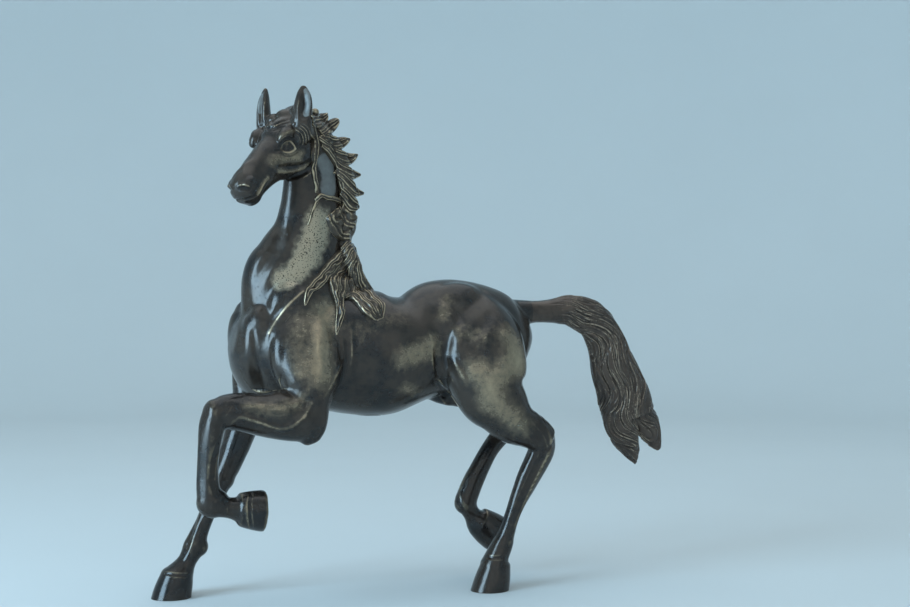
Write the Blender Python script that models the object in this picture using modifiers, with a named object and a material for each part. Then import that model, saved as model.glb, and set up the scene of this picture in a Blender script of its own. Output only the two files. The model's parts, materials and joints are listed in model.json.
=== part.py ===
"""Bronze horse statue at a trot, cast in sections that are pinned together.

The horse faces -X, its left side faces -Y and it stands on z = 0. The form is drawn in
millimetres on a grid of the statue's own size, and the joints are drawn in real sizes.
"""
import math

import bmesh
import bpy
from mathutils import Euler, Matrix, Vector
from mathutils.bvhtree import BVHTree

MM = 0.001

# Overall sizes of the statue, and the sizes that the form below is drawn at
LENGTH = 300.0
WIDTH = 80.0
HEIGHT = 276.0
DRAWN_LENGTH = 300.0
DRAWN_WIDTH = 80.0
DRAWN_HEIGHT = 276.0

# Casting and joint sizes in millimetres
WALL = 6.0
SEAM_GAP = 0.3
NECK_SPIGOT = 18.0
NECK_SPIGOT_LENGTH = 12.0
HEAD_SPIGOT = 10.0
HEAD_SPIGOT_LENGTH = 9.0
LEG_SPIGOT = 8.0
LEG_SPIGOT_LENGTH = 10.0
TAIL_SPIGOT = 7.0
TAIL_SPIGOT_LENGTH = 12.0
PIN = 3.0
PLUG = 13.0
HOOF_LENGTH = 22.0
HOOF_WIDTH = 20.0
HOOF_HEIGHT = 14.0

# Skin of the castings: size of the grid that the forms are blended on
SKIN_VOXEL = 1.3
FINE_VOXEL = 0.8

# Stations are x, y, z of the middle, then the half depth and the half width
BARREL = [
    (-63, 0, 141, 8, 10), (-58, 0, 140, 20, 17), (-49, 0, 138.5, 29, 23), (-35, 0, 137, 33.2, 26),
    (-15, 0, 136, 33.6, 28), (5, 0, 133.8, 34.8, 29.5), (22, 0, 132, 34, 30), (40, 0, 135, 29.6, 28),
    (55, 0, 140, 33, 26), (70, 0, 140.6, 32.4, 25), (85, 0, 140, 29.4, 23), (97, 0, 139.4, 24.8, 19.5),
    (105, 0, 139.4, 17, 14), (110.5, 0, 139, 7, 7),
]
NECK = [
    (-20, 0, 128, 36, 21), (-24, 0, 150, 34, 22.5), (-26.5, 0, 165, 32, 21), (-27.5, 0, 175, 29.5, 18.5),
    (-25, -1, 186, 24.2, 15.5), (-21.7, -2, 199, 19.2, 13), (-20.6, -3.5, 212, 17, 11.5),
    (-21, -5, 226, 15, 10.5), (-21.8, -6.5, 238, 13.2, 10), (-24.5, -8, 249, 11.6, 9.5),
    (-28, -9, 256, 9, 8.5),
]
DOCK = [(78, 0, 149, 17, 15), (90, 0, 152, 13, 12), (101, 0, 154.2, 8.6, 8.4), (112, 0, 155, 6.8, 6.6),
        (124, 0, 155.6, 5, 5)]
TAIL = [
    (101, 0, 154.6, 6.6, 6.4), (110, 0, 155, 6.5, 6.3), (117, 0, 155.3, 6.5, 6.3), (125, 0, 155.7, 7, 6.5),
    (131, 0, 156, 8, 6.9), (137, 0, 156, 9.2, 7.4), (147, 0, 153.3, 10.6, 8), (153.6, -0.3, 148.8, 10.9, 8.4),
    (159.1, -0.6, 140.6, 11.5, 8.8), (162.8, -1, 131.8, 12.6, 9), (166.3, -1, 121.4, 14.5, 9.2),
    (170, -1, 112, 16.1, 9), (174, -1, 101.5, 17.6, 8.6), (177, -1, 92, 17, 8),
]
TAIL_LOCKS = [
    [(166, -2, 106, 9.5, 7), (168.5, -2, 92, 10, 6.6), (173, -2.5, 81, 9, 6), (176.4, -3, 73, 5.8, 4.6),
     (179, -3, 66.8, 2.8, 2.4), (179.4, -3, 63.6, 0.9, 0.9)],
    [(177, 1, 108, 9.5, 7), (184.5, 1, 95, 9.6, 6.6), (190.5, 1, 85.5, 8, 5.6), (194.4, 1, 77.6, 5.2, 3.8),
     (197.6, 1, 71.8, 1.8, 1.6)],
]

# The head is drawn along its own axis, from the poll at 0 to the muzzle at 60
HEAD_AT = (-32.7, -9.8, 260)
HEAD_PITCH = 46
HEAD_YAW = 31
SKULL = [
    (-6, 0, -4, 7, 7), (0, 0, -4, 10, 9.5), (7, 0, -6, 13, 11.2), (15, 0, -7, 14.5, 12),
    (23, 0, -7, 13.8, 11.2), (30, 0, -5.4, 11.6, 9.8), (38, 0, -4.2, 10.2, 8.8), (46, 0, -3.6, 9.4, 8.2),
    (53, 0, -3.6, 9.2, 8), (58, 0, -4, 7.4, 6.8), (61, 0, -4.4, 3, 3),
]
HEAD_LUMPS = [
    ((16, 8, -12), (11, 4.6, 8.5)), ((16, -8, -12), (11, 4.6, 8.5)),
    ((17.5, 8.4, 1.6), (7.5, 3.6, 4.2)), ((19, -10.6, 2.2), (7.5, 4, 4.4)),
    ((53.5, 5.4, 0.4), (4.6, 2.6, 3)), ((53.5, -5.4, 0.4), (4.6, 2.6, 3)),
    ((53, 0, -10.6), (5, 4.8, 2.8)), ((4, -1, 1.8), (5.5, 6.5, 5.4)), ((0, 5.5, 2.6), (4.5, 3.6, 4.4)),
]
LEFT_EAR = [
    (-32, -21.8, 250, 4.8, 6.6), (-31, -22.3, 258, 4.6, 5.7), (-30.1, -22.3, 266, 4.2, 4.9),
    (-29.9, -21.8, 271.5, 3, 3.5), (-30, -21.2, 275.2, 0.9, 1.2),
]
RIGHT_EAR = [
    (-45, -0.5, 252, 4.6, 4.4), (-45.6, 0.2, 260, 4.8, 4), (-45.4, 0.8, 267, 4.4, 3.2),
    (-44.8, 1, 272, 3, 2.2), (-44.4, 1, 276, 0.8, 0.8),
]

# Muscles: middle, three half sizes and the turn about Y in degrees
MUSCLES = [
    ((-49.5, -10.5, 139), (12, 11.5, 21), 0), ((-51, 10.5, 142), (12, 11.5, 21), 0),
    ((-29, -15.5, 147), (18, 10.5, 27), -22), ((-29, 15.5, 147), (18, 10.5, 27), -22),
    ((10, 0, 155), (22, 9, 9.5), 5), ((62, -10, 152), (22, 13, 20), 0), ((62, 10, 152), (22, 13, 20), 0),
]

# Sheath under the belly
SHEATH = [(46, -1, 112, 4, 5), (54, -1.5, 109, 5, 5.5), (62, -2, 106.6, 4.8, 5), (70, -2, 105.4, 4, 4.5),
          (78, -2, 106, 3, 3.5)]

# Legs. The upper run is part of the torso down to the seam and the rest is the leg casting
LEFT_FORE = {
    "runs": [
        [(-21, -8, 168, 7, 4), (-26, -16, 153, 14, 8.5), (-29, -22.5, 137, 18.5, 11.5),
         (-28, -27, 122, 17, 12), (-28.5, -29.5, 108, 11.5, 11), (-28, -31, 97, 6.5, 8)],
        [(-28, -30, 116, 10, 9), (-27.2, -31, 104, 8.4, 8), (-28, -31, 95, 5.6, 6), (-27.4, -31, 89, 2.6, 3.2),
         (-26.6, -31, 86.4, 0.8, 0.8)],
        [(-25.5, -31, 95.5, 7.4, 7), (-31, -31, 98.6, 11.4, 9.5), (-43, -31, 101.6, 12.8, 10.5),
         (-56, -31.5, 103, 11.4, 10), (-66, -32, 104.4, 10, 9.2), (-74, -32, 104.6, 9, 8.6),
         (-80, -32, 103.6, 7, 7.4)],
    ],
    "lower": [
        [(-78.6, -32, 106.4, 6, 7.2), (-80.8, -32, 98, 6.6, 7.2), (-82.4, -32, 87, 5.5, 6),
         (-83, -32, 76, 5.3, 5.4), (-82.8, -32, 66, 5.9, 5.8), (-81, -32, 58, 7.6, 6.8)],
        [(-82, -32, 58, 6.6, 6.4), (-74, -32, 56, 5.4, 6), (-69, -32, 55, 6, 6.6), (-64, -32, 54, 8.4, 8.2),
         (-61, -32, 53.6, 8.8, 8.6)],
    ],
    "knots": [((-79.4, -32, 103), (6.4, 8, 8.6)), ((-80.5, -32, 58.6), (8.6, 7, 7.8))],
    "hoof": ((-53.5, -32, 53), (-1, 0, 0.06), (0, 0, -1)),
    "seam": ((-60, -31.7, 103.5), (-0.992, -0.05, 0.12)),
    "pin_side": (0, 1, 0),
    "trim": 60,
}
RIGHT_FORE = {
    "runs": [
        [(-25, 8, 168, 7, 4), (-33, 15, 150, 14, 8.5), (-39.5, 20.5, 134, 15.5, 11),
         (-43, 23, 119, 13.5, 11), (-46.5, 24, 107, 11, 10), (-50.5, 24.5, 95, 9.2, 9),
         (-55, 25, 82, 8, 8.2)],
    ],
    "lower": [
        [(-52, 24.6, 91, 8.7, 8.6), (-55, 25, 82, 8, 8.2), (-59.4, 25.4, 71, 7, 7.4),
         (-63.8, 25.8, 62, 6.4, 7.2), (-68, 26.2, 51.5, 5, 5.7), (-71.8, 26.6, 42, 4.5, 4.9),
         (-74.9, 27, 34, 4.8, 5.1), (-77.2, 27.2, 27, 6, 6), (-80.6, 27.4, 20, 5.9, 6.6),
         (-85.2, 27.5, 13, 7.7, 8.4)],
    ],
    "knots": [((-62.3, 25.7, 64.5), (6.8, 7.6, 7.6)), ((-75.4, 27.2, 27), (5.4, 5.8, 5.8))],
    "hoof": ((-90.3, 27.5, 0), (0, 0, 1), (-1, 0, 0)),
    "seam": ((-49, 24.3, 99), (-0.32, 0.04, -0.946)),
    "pin_side": (0, -1, 0),
    "trim": 400,
}
LEFT_HIND = {
    "runs": [
        [(62, -5, 165, 12, 7), (66.5, -12, 153, 21, 12), (71, -18, 139, 26, 16.5), (74, -22, 125, 25, 17.5),
         (77, -24.5, 110.5, 20.5, 15.5), (83.5, -25.6, 101.4, 16.2, 13), (89.2, -26.2, 94.8, 13.4, 11.4),
         (96, -26.5, 91, 11, 10), (103, -27, 87.6, 9.8, 8.8)],
    ],
    "lower": [
        [(86.5, -26, 97.6, 14.6, 12), (92.5, -26.4, 92.8, 12.2, 10.6), (99, -26.8, 89.4, 10.3, 9.2),
         (104.5, -27, 86.4, 9.4, 8.4), (109.5, -27, 83, 8, 7.6)],
        [(107.6, -26.6, 87, 6.8, 6.6), (107.4, -26, 79, 7.5, 6.6), (104.2, -25, 71, 7.2, 6),
         (99.2, -23.8, 61, 6.6, 5.4),
         (94.7, -22.6, 51, 5.2, 4.8), (91.1, -21.4, 41.5, 4.2, 4.5), (88.4, -20.2, 32, 4.7, 4.8),
         (86.1, -19.4, 25.5, 6, 5.8), (83.1, -18.8, 19, 6.6, 7), (81.1, -18.5, 13, 8, 8.4)],
    ],
    "knots": [((107.8, -26.6, 83.6), (6.4, 7.2, 8.2)), ((87.2, -19.6, 27), (5.2, 5.6, 5.8))],
    "hoof": ((78.6, -18.5, 0), (0, 0, 1), (-1, 0, 0)),
    "seam": ((88.5, -26.2, 95.4), (0.8, -0.05, -0.6)),
    "pin_side": (0, 1, 0),
    "trim": 400,
}
RIGHT_HIND = {
    "runs": [
        [(62, 5, 165, 12, 7), (67, 12, 154, 21, 12), (73, 18, 140, 25, 16), (79, 22, 127, 21, 16),
         (88, 23.5, 116, 15, 13),
         (98, 24, 108.5, 11.6, 11), (107, 24, 103, 10, 9.4), (114, 24, 99, 9, 8)],
    ],
    "lower": [
        [(94, 23.8, 111.5, 12.8, 12), (101, 24, 106.5, 11, 10.4), (108, 24, 102.4, 9.8, 9),
         (117, 24, 97, 8, 7.4)],
        [(117.5, 24, 101, 7, 6.6), (113, 24, 93, 7.4, 6.6), (106.5, 24, 85, 6.4, 6),
         (97.5, 24, 74.5, 5.3, 5.2), (91, 24, 64, 5.6, 5.2), (86, 24, 55, 6.4, 5.6),
         (81.6, 24, 46, 7, 6.2)],
        [(81, 24, 45.6, 6.6, 6), (84.2, 24, 37.8, 5, 5.4), (88.2, 24, 31.6, 6.4, 6.6),
         (92, 24, 27.4, 8, 8)],
    ],
    "knots": [((116, 24, 97), (6.6, 7, 8)), ((81.6, 24, 45), (7.2, 6.4, 6.8))],
    "hoof": ((101.5, 24, 18), (-0.75, 0, 0.66), (-0.66, 0, -0.75)),
    "seam": ((95.5, 23.8, 110.4), (0.83, 0.03, -0.557)),
    "pin_side": (0, -1, 0),
    "trim": 400,
}
LEGS = {"left_fore": LEFT_FORE, "right_fore": RIGHT_FORE, "left_hind": LEFT_HIND, "right_hind": RIGHT_HIND}

# Joints of the neck, the head and the tail
NECK_SEAM = ((-22.5, -1, 187), (0, 0, 1))
HEAD_SEAM = ((-29.5, -8, 241), (-0.835, -0.386, 0.394))
TAIL_SEAM = ((111, 0, 155), (1, 0, 0))
PLUG_AT = (14, 0, 97)

# Mane: tips and roots of the standing locks, then the paths of the hanging ones
CREST = [
    (-23, -8.5, 258, 4.2, 4.6), (-15.8, -8, 250.4, 5.2, 5), (-9.6, -7, 242, 5.6, 5), (-5, -6, 232, 5.6, 5.4),
    (-2.2, -5, 222, 5.4, 5.8), (-0.2, -4, 211, 5, 6), (0.8, -3.5, 201, 4.6, 6.2), (1.4, -3, 193, 3.6, 6),
]
SPIKES = [
    ((-23.5, -8, 257.5), (-18, -8, 264.5), 2.8), ((-20, -8, 253), (-12.2, -8, 264), 4.8),
    ((-16, -7, 248), (-5, -7, 260.8), 5.2), ((-12, -7, 243), (0.8, -7, 250.6), 4.8),
    ((-8.5, -6, 237), (5.8, -6, 241.6), 4.8), ((-6, -5, 230.5), (7.8, -5, 230.4), 4.8),
    ((-3.8, -5, 223), (9.5, -5, 220.6), 4.8), ((-2.6, -4, 215), (7, -4, 211.6), 4.4),
    ((-2, -4, 206), (4.6, -4, 201.5), 4.6),
]
STRAND = [
    (-15.5, 252), (-19.5, 248), (-22, 240), (-21.8, 229), (-20, 219), (-13, 214), (-5.5, 212), (-2.5, 210),
]
LEFT_LOCKS = [
    [(-6, 206, 4), (-6, 197, 5.5), (-5, 187, 6), (-3, 177, 5)],
    [(-3, 201, 5), (-9, 190, 5), (-17, 178, 4.4), (-25, 167, 3.6), (-31, 158, 1)],
    [(-2.5, 195, 5), (-6, 183, 5.2), (-11, 168, 4.6), (-13.5, 156, 3.6), (-12, 144.5, 1)],
    [(-1, 187, 5), (-1, 175, 5.2), (3.5, 162, 4.4), (14.5, 151.5, 1)],
    [(-2, 190, 5), (-4, 176, 5.2), (-6, 164, 4.6), (-4, 153, 3.2), (-6, 145, 1)],
    [(-3, 204, 4.4), (-9, 203, 4), (-12.5, 197, 3.8), (-8, 192, 3.8), (-3, 194, 1.8)],
    [(-0.5, 184, 5), (4, 173.5, 5), (13, 165, 4.4), (25, 160, 1)],
]
RIGHT_LOCKS = [
    [(-6, 205, 4), (-6, 197, 5.5), (-5, 187, 6), (-3, 177, 5)],
    [(-3, 200, 5), (-8, 189, 5), (-16, 177, 4.4), (-24, 165, 3.6), (-29, 155, 1)],
    [(-2.5, 195, 5), (-5, 182, 5.2), (-9, 168, 4.6), (-11, 155, 3.6), (-9, 143, 1)],
    [(-1, 187, 5), (0, 174, 5.2), (4, 160, 4.4), (13, 149, 1)],
    [(-0.5, 184, 5), (5, 172.5, 5), (14, 164, 4.4), (26, 159, 1)],
]


def to_size(point):
    """A drawn point at the statue's real size, in metres."""
    x, y, z = point
    return Vector((x * LENGTH / DRAWN_LENGTH, y * WIDTH / DRAWN_WIDTH, z * HEIGHT / DRAWN_HEIGHT)) * MM


def bearing(vector):
    """A drawn direction at the statue's real size, of length one."""
    return to_size(vector).normalized()


def facing_way(normal):
    """The way that a drawn seam faces at the statue's real size, of length one."""
    x, y, z = normal
    return Vector((x * DRAWN_LENGTH / LENGTH, y * DRAWN_WIDTH / WIDTH, z * DRAWN_HEIGHT / HEIGHT)).normalized()


def new_object(name, mesh):
    data = bpy.data.meshes.new(name)
    mesh.to_mesh(data)
    mesh.free()
    body = bpy.data.objects.new(name, data)
    bpy.context.scene.collection.objects.link(body)
    return body


def bake(body):
    """Puts the result of a body's modifiers into its mesh."""
    bpy.context.view_layer.update()
    graph = bpy.context.evaluated_depsgraph_get()
    data = bpy.data.meshes.new_from_object(body.evaluated_get(graph))
    body.modifiers.clear()
    body.data = data


def path_through(stations, steps):
    """Points of a smooth curve through the stations; every number of a station is carried along."""
    rows = [Vector(station) for station in stations]
    rows = [2 * rows[0] - rows[1]] + rows + [2 * rows[-1] - rows[-2]]
    path = []
    for a, b, c, d in zip(rows, rows[1:], rows[2:], rows[3:]):
        for step in range(steps):
            t = step / steps
            path.append(b + 0.5 * t * (c - a + t * (2 * a - 5 * b + 4 * c - d + t * (3 * (b - c) + d - a))))
    path.append(rows[-2])
    return path


def loft(name, stations, across=(0, 1, 0), facing=None, place=Matrix(), steps=4, sides=20):
    """A closed skin over elliptic sections. Sections stand square to the path unless they face one way."""
    path = path_through(stations, steps)
    middles = [Vector(row[:3]) for row in path]
    mesh = bmesh.new()
    rings = []
    for i, row in enumerate(path):
        along = Vector(facing) if facing else middles[min(i + 1, len(path) - 1)] - middles[max(i - 1, 0)]
        along.normalize()
        side = Vector(across) - along * along.dot(Vector(across))
        side.normalize()
        depth = along.cross(side)
        ring = []
        for k in range(sides):
            turn = 2 * math.pi * k / sides
            point = middles[i] + depth * (max(row[3], 0.5) * math.cos(turn))
            point += side * (max(row[4], 0.5) * math.sin(turn))
            ring.append(mesh.verts.new(to_size(place @ point)))
        rings.append(ring)
    for low, high in zip(rings, rings[1:]):
        for k in range(sides):
            following = (k + 1) % sides
            mesh.faces.new((low[k], low[following], high[following], high[k]))
    mesh.faces.new(list(reversed(rings[0])))
    mesh.faces.new(rings[-1])
    bmesh.ops.recalc_face_normals(mesh, faces=mesh.faces)
    return new_object(name, mesh)


def lump(name, middle, halves, tilt=0, place=Matrix()):
    """An ellipsoid, turned about Y."""
    mesh = bmesh.new()
    shape = Matrix.Translation(middle) @ Euler((0, math.radians(tilt), 0)).to_matrix().to_4x4()
    shape = place @ shape @ Matrix.Diagonal((*halves, 1))
    bmesh.ops.create_uvsphere(mesh, u_segments=24, v_segments=14, radius=1, matrix=shape)
    for vert in mesh.verts:
        vert.co = to_size(vert.co)
    return new_object(name, mesh)


def blend(name, bodies, voxel, passes, triangles):
    """Runs closed bodies together into one skin, softens it and thins it to a number of triangles."""
    mesh = bmesh.new()
    for body in bodies:
        mesh.from_mesh(body.data)
        bpy.data.objects.remove(body)
    skin = new_object(name, mesh)
    remesh = skin.modifiers.new("Skin", "REMESH")
    remesh.mode = "VOXEL"
    remesh.voxel_size = voxel * MM
    soften = skin.modifiers.new("Soften", "SMOOTH")
    soften.factor = 0.5
    soften.iterations = passes
    bake(skin)
    thin = skin.modifiers.new("Thin", "DECIMATE")
    thin.ratio = triangles / (2 * len(skin.data.polygons))
    bake(skin)
    return skin


def copy_of(body, name):
    twin = body.copy()
    twin.data = body.data.copy()
    twin.name = name
    bpy.context.scene.collection.objects.link(twin)
    return twin


def combine(body, tool, operation):
    """One Boolean, and its tool goes into the collection of cutters."""
    step = body.modifiers.new(operation.title(), "BOOLEAN")
    step.operation = operation
    step.solver = "EXACT"
    step.object = tool
    bake(body)
    for group in list(tool.users_collection):
        group.objects.unlink(tool)
    CUTTERS.objects.link(tool)
    tool.hide_render = True
    tool.display_type = "WIRE"


def swollen(body, gap):
    """A copy of a body with its skin moved out by a gap, to cut a seat for what lies on it."""
    twin = copy_of(body, body.name + " seat")
    grow = twin.modifiers.new("Gap", "DISPLACE")
    grow.mid_level = 0
    grow.strength = gap * MM
    bake(twin)
    return twin


def drop_offcuts(body):
    """Keeps the largest shell of a body, without the slivers that a seat cut leaves."""
    mesh = bmesh.new()
    mesh.from_mesh(body.data)
    waiting = set(mesh.verts)
    shells = []
    while waiting:
        front = [waiting.pop()]
        shell = list(front)
        while front:
            vert = front.pop()
            for edge in vert.link_edges:
                other = edge.other_vert(vert)
                if other in waiting:
                    waiting.remove(other)
                    front.append(other)
                    shell.append(other)
        shells.append(shell)
    shells.sort(key=len)
    offcuts = [vert for shell in shells[:-1] for vert in shell]
    bmesh.ops.delete(mesh, geom=offcuts, context="VERTS")
    mesh.to_mesh(body.data)
    mesh.free()


def block(name, middle, axis, reach, width):
    """A box that starts at a point and reaches along an axis."""
    mesh = bmesh.new()
    turn = axis.to_track_quat("Z", "Y").to_matrix().to_4x4()
    shape = Matrix.Translation(middle + axis * reach / 2) @ turn @ Matrix.Diagonal((width, width, reach, 1))
    bmesh.ops.create_cube(mesh, size=1, matrix=shape)
    return new_object(name, mesh)


def rod(name, start, end, diameter):
    """A round bar between two points."""
    mesh = bmesh.new()
    axis = end - start
    turn = axis.to_track_quat("Z", "Y").to_matrix().to_4x4()
    shape = Matrix.Translation((start + end) / 2) @ turn
    radius = diameter * MM / 2
    bmesh.ops.create_cone(mesh, cap_ends=True, segments=14, radius1=radius, radius2=radius,
                          depth=axis.length, matrix=shape)
    return new_object(name, mesh)


def hoof(name, sole, up, toe):
    """A hoof wall from under its sole to the coronet, which lies back from the toe."""
    sole, up, toe = Vector(sole), Vector(up).normalized(), Vector(toe).normalized()
    planted = up.z > 0.9
    lean = 0.28 if planted else 0.05
    rows = []
    for share, length, width in ((-0.2, 1, 1), (0, 1, 1), (0.5, 0.88, 0.92), (1, 0.7, 0.8)):
        if share >= 0 or planted:
            middle = sole + (up - lean * toe) * (HOOF_HEIGHT * share)
            rows.append((*middle, HOOF_LENGTH / 2 * length, HOOF_WIDTH / 2 * width))
    return loft(name, rows, across=up.cross(toe), facing=up)


def leg_forms(name, leg):
    """The leg from the run that crosses its seam down to the hoof."""
    bodies = [loft(name, run) for run in leg["runs"][-1:] + leg["lower"]]
    bodies += [lump(name, *knot) for knot in leg["knots"]]
    bodies.append(hoof(name, *leg["hoof"]))
    return bodies


def skin_distance(body, start, heading):
    """How far the skin of a body is from a point inside it."""
    graph = bpy.context.evaluated_depsgraph_get()
    hit = BVHTree.FromObject(body, graph).ray_cast(start, heading)
    return hit[3]


def draped(bodies, x, z, side):
    """The point where a side view of the drawn x and z meets the outermost of some bodies."""
    graph = bpy.context.evaluated_depsgraph_get()
    start = to_size((x, side * DRAWN_WIDTH, z))
    found = None
    for body in bodies:
        hit = BVHTree.FromObject(body, graph).ray_cast(start, Vector((0, -side, 0)))
        if hit[0] is not None and (found is None or hit[0].y * side > found * side):
            found = hit[0].y
    return (x, found / MM * DRAWN_WIDTH / WIDTH if found is not None else 0, z)


def lock(name, path, bodies, side):
    """A lock of hair that lies on the skin of some bodies."""
    rows = []
    for x, z, half in path:
        px, py, pz = draped(bodies, x, z, side)
        rows.append((px, py + side * 0.4, pz, max(half, 1.2), max(half * 0.62, 1)))
    return loft(name, rows, sides=12)


def joint(piece, host, seam, diameter, length, cross, skin):
    """Spigot on the piece, socket in the host and a pin across both. The pin is returned."""
    point, axis = to_size(seam[0]), facing_way(seam[1])
    radius = diameter * MM / 2
    gap = SEAM_GAP * MM
    length *= MM
    spigot = rod(piece.name + " spigot", point + axis * 3 * gap, point - axis * length, diameter)
    combine(piece, spigot, "UNION")
    bottom = point - axis * (length + gap)
    socket = rod(piece.name + " socket", point + axis * length, bottom, diameter + 2 * SEAM_GAP)
    combine(host, socket, "DIFFERENCE")
    heading = bearing(cross)
    heading = (heading - axis * heading.dot(axis)).normalized()
    middle = point - axis * length * 0.55
    start = middle + heading * (skin_distance(skin, middle, heading) - gap)
    end = middle - heading * (radius + 2 * MM)
    drill = rod(piece.name + " pin hole", start + heading * 4 * MM, end - heading * gap, PIN + 2 * SEAM_GAP)
    combine(host, drill, "DIFFERENCE")
    combine(piece, copy_of(drill, piece.name + " spigot hole"), "DIFFERENCE")
    return rod(piece.name + "_pin", start, end, PIN)


def keep(body, seam, wide, reach=400):
    """Cuts a body off at a seam and keeps the side that the seam faces."""
    point, axis = to_size(seam[0]), facing_way(seam[1])
    start = point + axis * SEAM_GAP * MM / 2
    combine(body, block(body.name + " cut", start, -axis, reach * MM, wide * MM), "DIFFERENCE")


def cut_off(body, seam, wide, reach):
    """Cuts away what lies beyond a seam, inside a box of a given width."""
    point, axis = to_size(seam[0]), facing_way(seam[1])
    start = point - axis * SEAM_GAP * MM / 2
    combine(body, block(body.name + " cut", start, axis, reach * MM, wide * MM), "DIFFERENCE")


def bronze(name, colour, roughness):
    paint = bpy.data.materials.new(name)
    paint.use_nodes = True
    shader = paint.node_tree.nodes["Principled BSDF"]
    shader.inputs["Base Color"].default_value = (*colour, 1)
    shader.inputs["Metallic"].default_value = 1
    shader.inputs["Roughness"].default_value = roughness
    paint.diffuse_color = (*colour, 1)
    return paint


def head_place():
    pitch, yaw = math.radians(HEAD_PITCH), math.radians(HEAD_YAW)
    level = Vector((-math.cos(yaw), -math.sin(yaw), 0))
    up = Vector((0, 0, 1))
    forward = level * math.cos(pitch) - up * math.sin(pitch)
    crown = level * math.sin(pitch) + up * math.cos(pitch)
    turn = Matrix((forward, crown.cross(forward), crown)).transposed().to_4x4()
    return Matrix.Translation(HEAD_AT) @ turn


for old in list(bpy.data.objects):
    bpy.data.objects.remove(old)
STATUE = bpy.data.collections.new("Bronze horse statue")
CUTTERS = bpy.data.collections.new("Cutters")
bpy.context.scene.collection.children.link(STATUE)
bpy.context.scene.collection.children.link(CUTTERS)

# Whole skins that the castings are sectioned from
torso_forms = [loft("barrel", BARREL), loft("neck root", NECK[:7]), loft("dock", DOCK), loft("sheath", SHEATH)]
torso_forms += [lump("muscle", *muscle) for muscle in MUSCLES]
for leg_name, leg in LEGS.items():
    torso_forms += [loft(leg_name, run) for run in leg["runs"]]
torso_skin = blend("torso skin", torso_forms, SKIN_VOXEL, 14, 2000)
head_at = head_place()
head_forms = [loft("neck run", NECK), loft("skull", SKULL, place=head_at)]
head_forms += [lump("head lump", *form, place=head_at) for form in HEAD_LUMPS]
head_forms += [loft("ear", LEFT_EAR, across=(0.8, -0.6, 0)), loft("ear", RIGHT_EAR, across=(0.8, -0.6, 0))]
head_skin = blend("head skin", head_forms, FINE_VOXEL, 3, 2600)

# Sections of the body
parts = {}
torso = parts["torso"] = copy_of(torso_skin, "torso")
cut_off(torso, NECK_SEAM, 120, 60)
neck = parts["neck"] = copy_of(head_skin, "neck")
keep(neck, NECK_SEAM, 300)
cut_off(neck, HEAD_SEAM, 300, 200)
head = parts["head"] = copy_of(head_skin, "head")
keep(head, HEAD_SEAM, 400)

# Core of the hollow torso and the hole that it came out by
core_rows = [(x, y, z, depth - WALL, width - WALL) for x, y, z, depth, width in BARREL[2:-3]]
plug_at = to_size(PLUG_AT)
up = Vector((0, 0, 1))
combine(torso, loft("core", core_rows, steps=2, sides=14), "DIFFERENCE")
plug_hole = rod("plug hole", plug_at - up * 12 * MM, plug_at + up * 16 * MM, PLUG + 2 * SEAM_GAP)
combine(torso, plug_hole, "DIFFERENCE")
plug = parts["belly_plug"] = rod("belly_plug", plug_at - up * 12 * MM, plug_at + up * (WALL + 3) * MM, PLUG)
combine(plug, copy_of(torso_skin, "belly"), "INTERSECT")

# Legs
for leg_name, leg in LEGS.items():
    piece = blend(leg_name + "_leg", leg_forms(leg_name, leg), FINE_VOXEL, 3, 900)
    parts[piece.name] = piece
    keep(piece, leg["seam"], leg["trim"])
    if leg["hoof"][1][2] > 0.9:
        sole = to_size(leg["hoof"][0])
        combine(piece, block("ground", sole, -up, 0.05, 0.2), "DIFFERENCE")
    cut_off(torso, leg["seam"], 34, 40)
    pin = joint(piece, torso, leg["seam"], LEG_SPIGOT, LEG_SPIGOT_LENGTH, leg["pin_side"], torso_skin)
    parts[pin.name] = pin

# Neck, head and tail
tail_forms = [loft("tail", TAIL)] + [loft("tail lock", row) for row in TAIL_LOCKS]
tail = blend("tail", tail_forms, FINE_VOXEL, 3, 850)
parts["tail"] = tail
keep(tail, TAIL_SEAM, 200)
cut_off(torso, TAIL_SEAM, 40, 20)
far_side = (0, 1, 0)
for piece, host, seam, diameter, length, skin in (
        (neck, torso, NECK_SEAM, NECK_SPIGOT, NECK_SPIGOT_LENGTH, torso_skin),
        (head, neck, HEAD_SEAM, HEAD_SPIGOT, HEAD_SPIGOT_LENGTH, head_skin),
        (tail, torso, TAIL_SEAM, TAIL_SPIGOT, TAIL_SPIGOT_LENGTH, torso_skin)):
    pin = joint(piece, host, seam, diameter, length, far_side, skin)
    parts[pin.name] = pin

# Mane
body_skins = [torso_skin, head_skin]
crest_forms = [loft("crest", CREST)]
for root, tip, half in SPIKES:
    root, tip = Vector(root), Vector(tip)
    rise = Vector((0, 0, 0.06)) * (tip - root).length
    rows = [(*(root.lerp(tip, share) - rise * math.sin(math.pi * share)), half * size, half * size * 0.85)
            for share, size in ((-0.4, 1), (0, 1), (0.45, 0.82), (0.8, 0.5), (1, 0.2))]
    crest_forms.append(loft("spike", rows, sides=12))
crest_forms.append(lock("strand", [(x, z, 2.6) for x, z in STRAND], body_skins, -1))
crest = parts["mane_crest"] = blend("mane_crest", crest_forms, FINE_VOXEL, 1, 1350)
for side, paths, name in ((-1, LEFT_LOCKS, "mane_fall_left"), (1, RIGHT_LOCKS, "mane_fall_right")):
    fall = blend(name, [lock("lock", path, body_skins, side) for path in paths], FINE_VOXEL, 1, 560)
    parts[name] = fall
    middle = Vector((0, side * SEAM_GAP * MM / 2, 0.2))
    combine(fall, block("half", middle, Vector((0, -side, 0)), 0.1, 0.4), "DIFFERENCE")
    combine(fall, swollen(crest, SEAM_GAP), "DIFFERENCE")
for name in ("mane_crest", "mane_fall_left", "mane_fall_right"):
    for skin in body_skins:
        combine(parts[name], swollen(skin, SEAM_GAP), "DIFFERENCE")
    drop_offcuts(parts[name])
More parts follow.
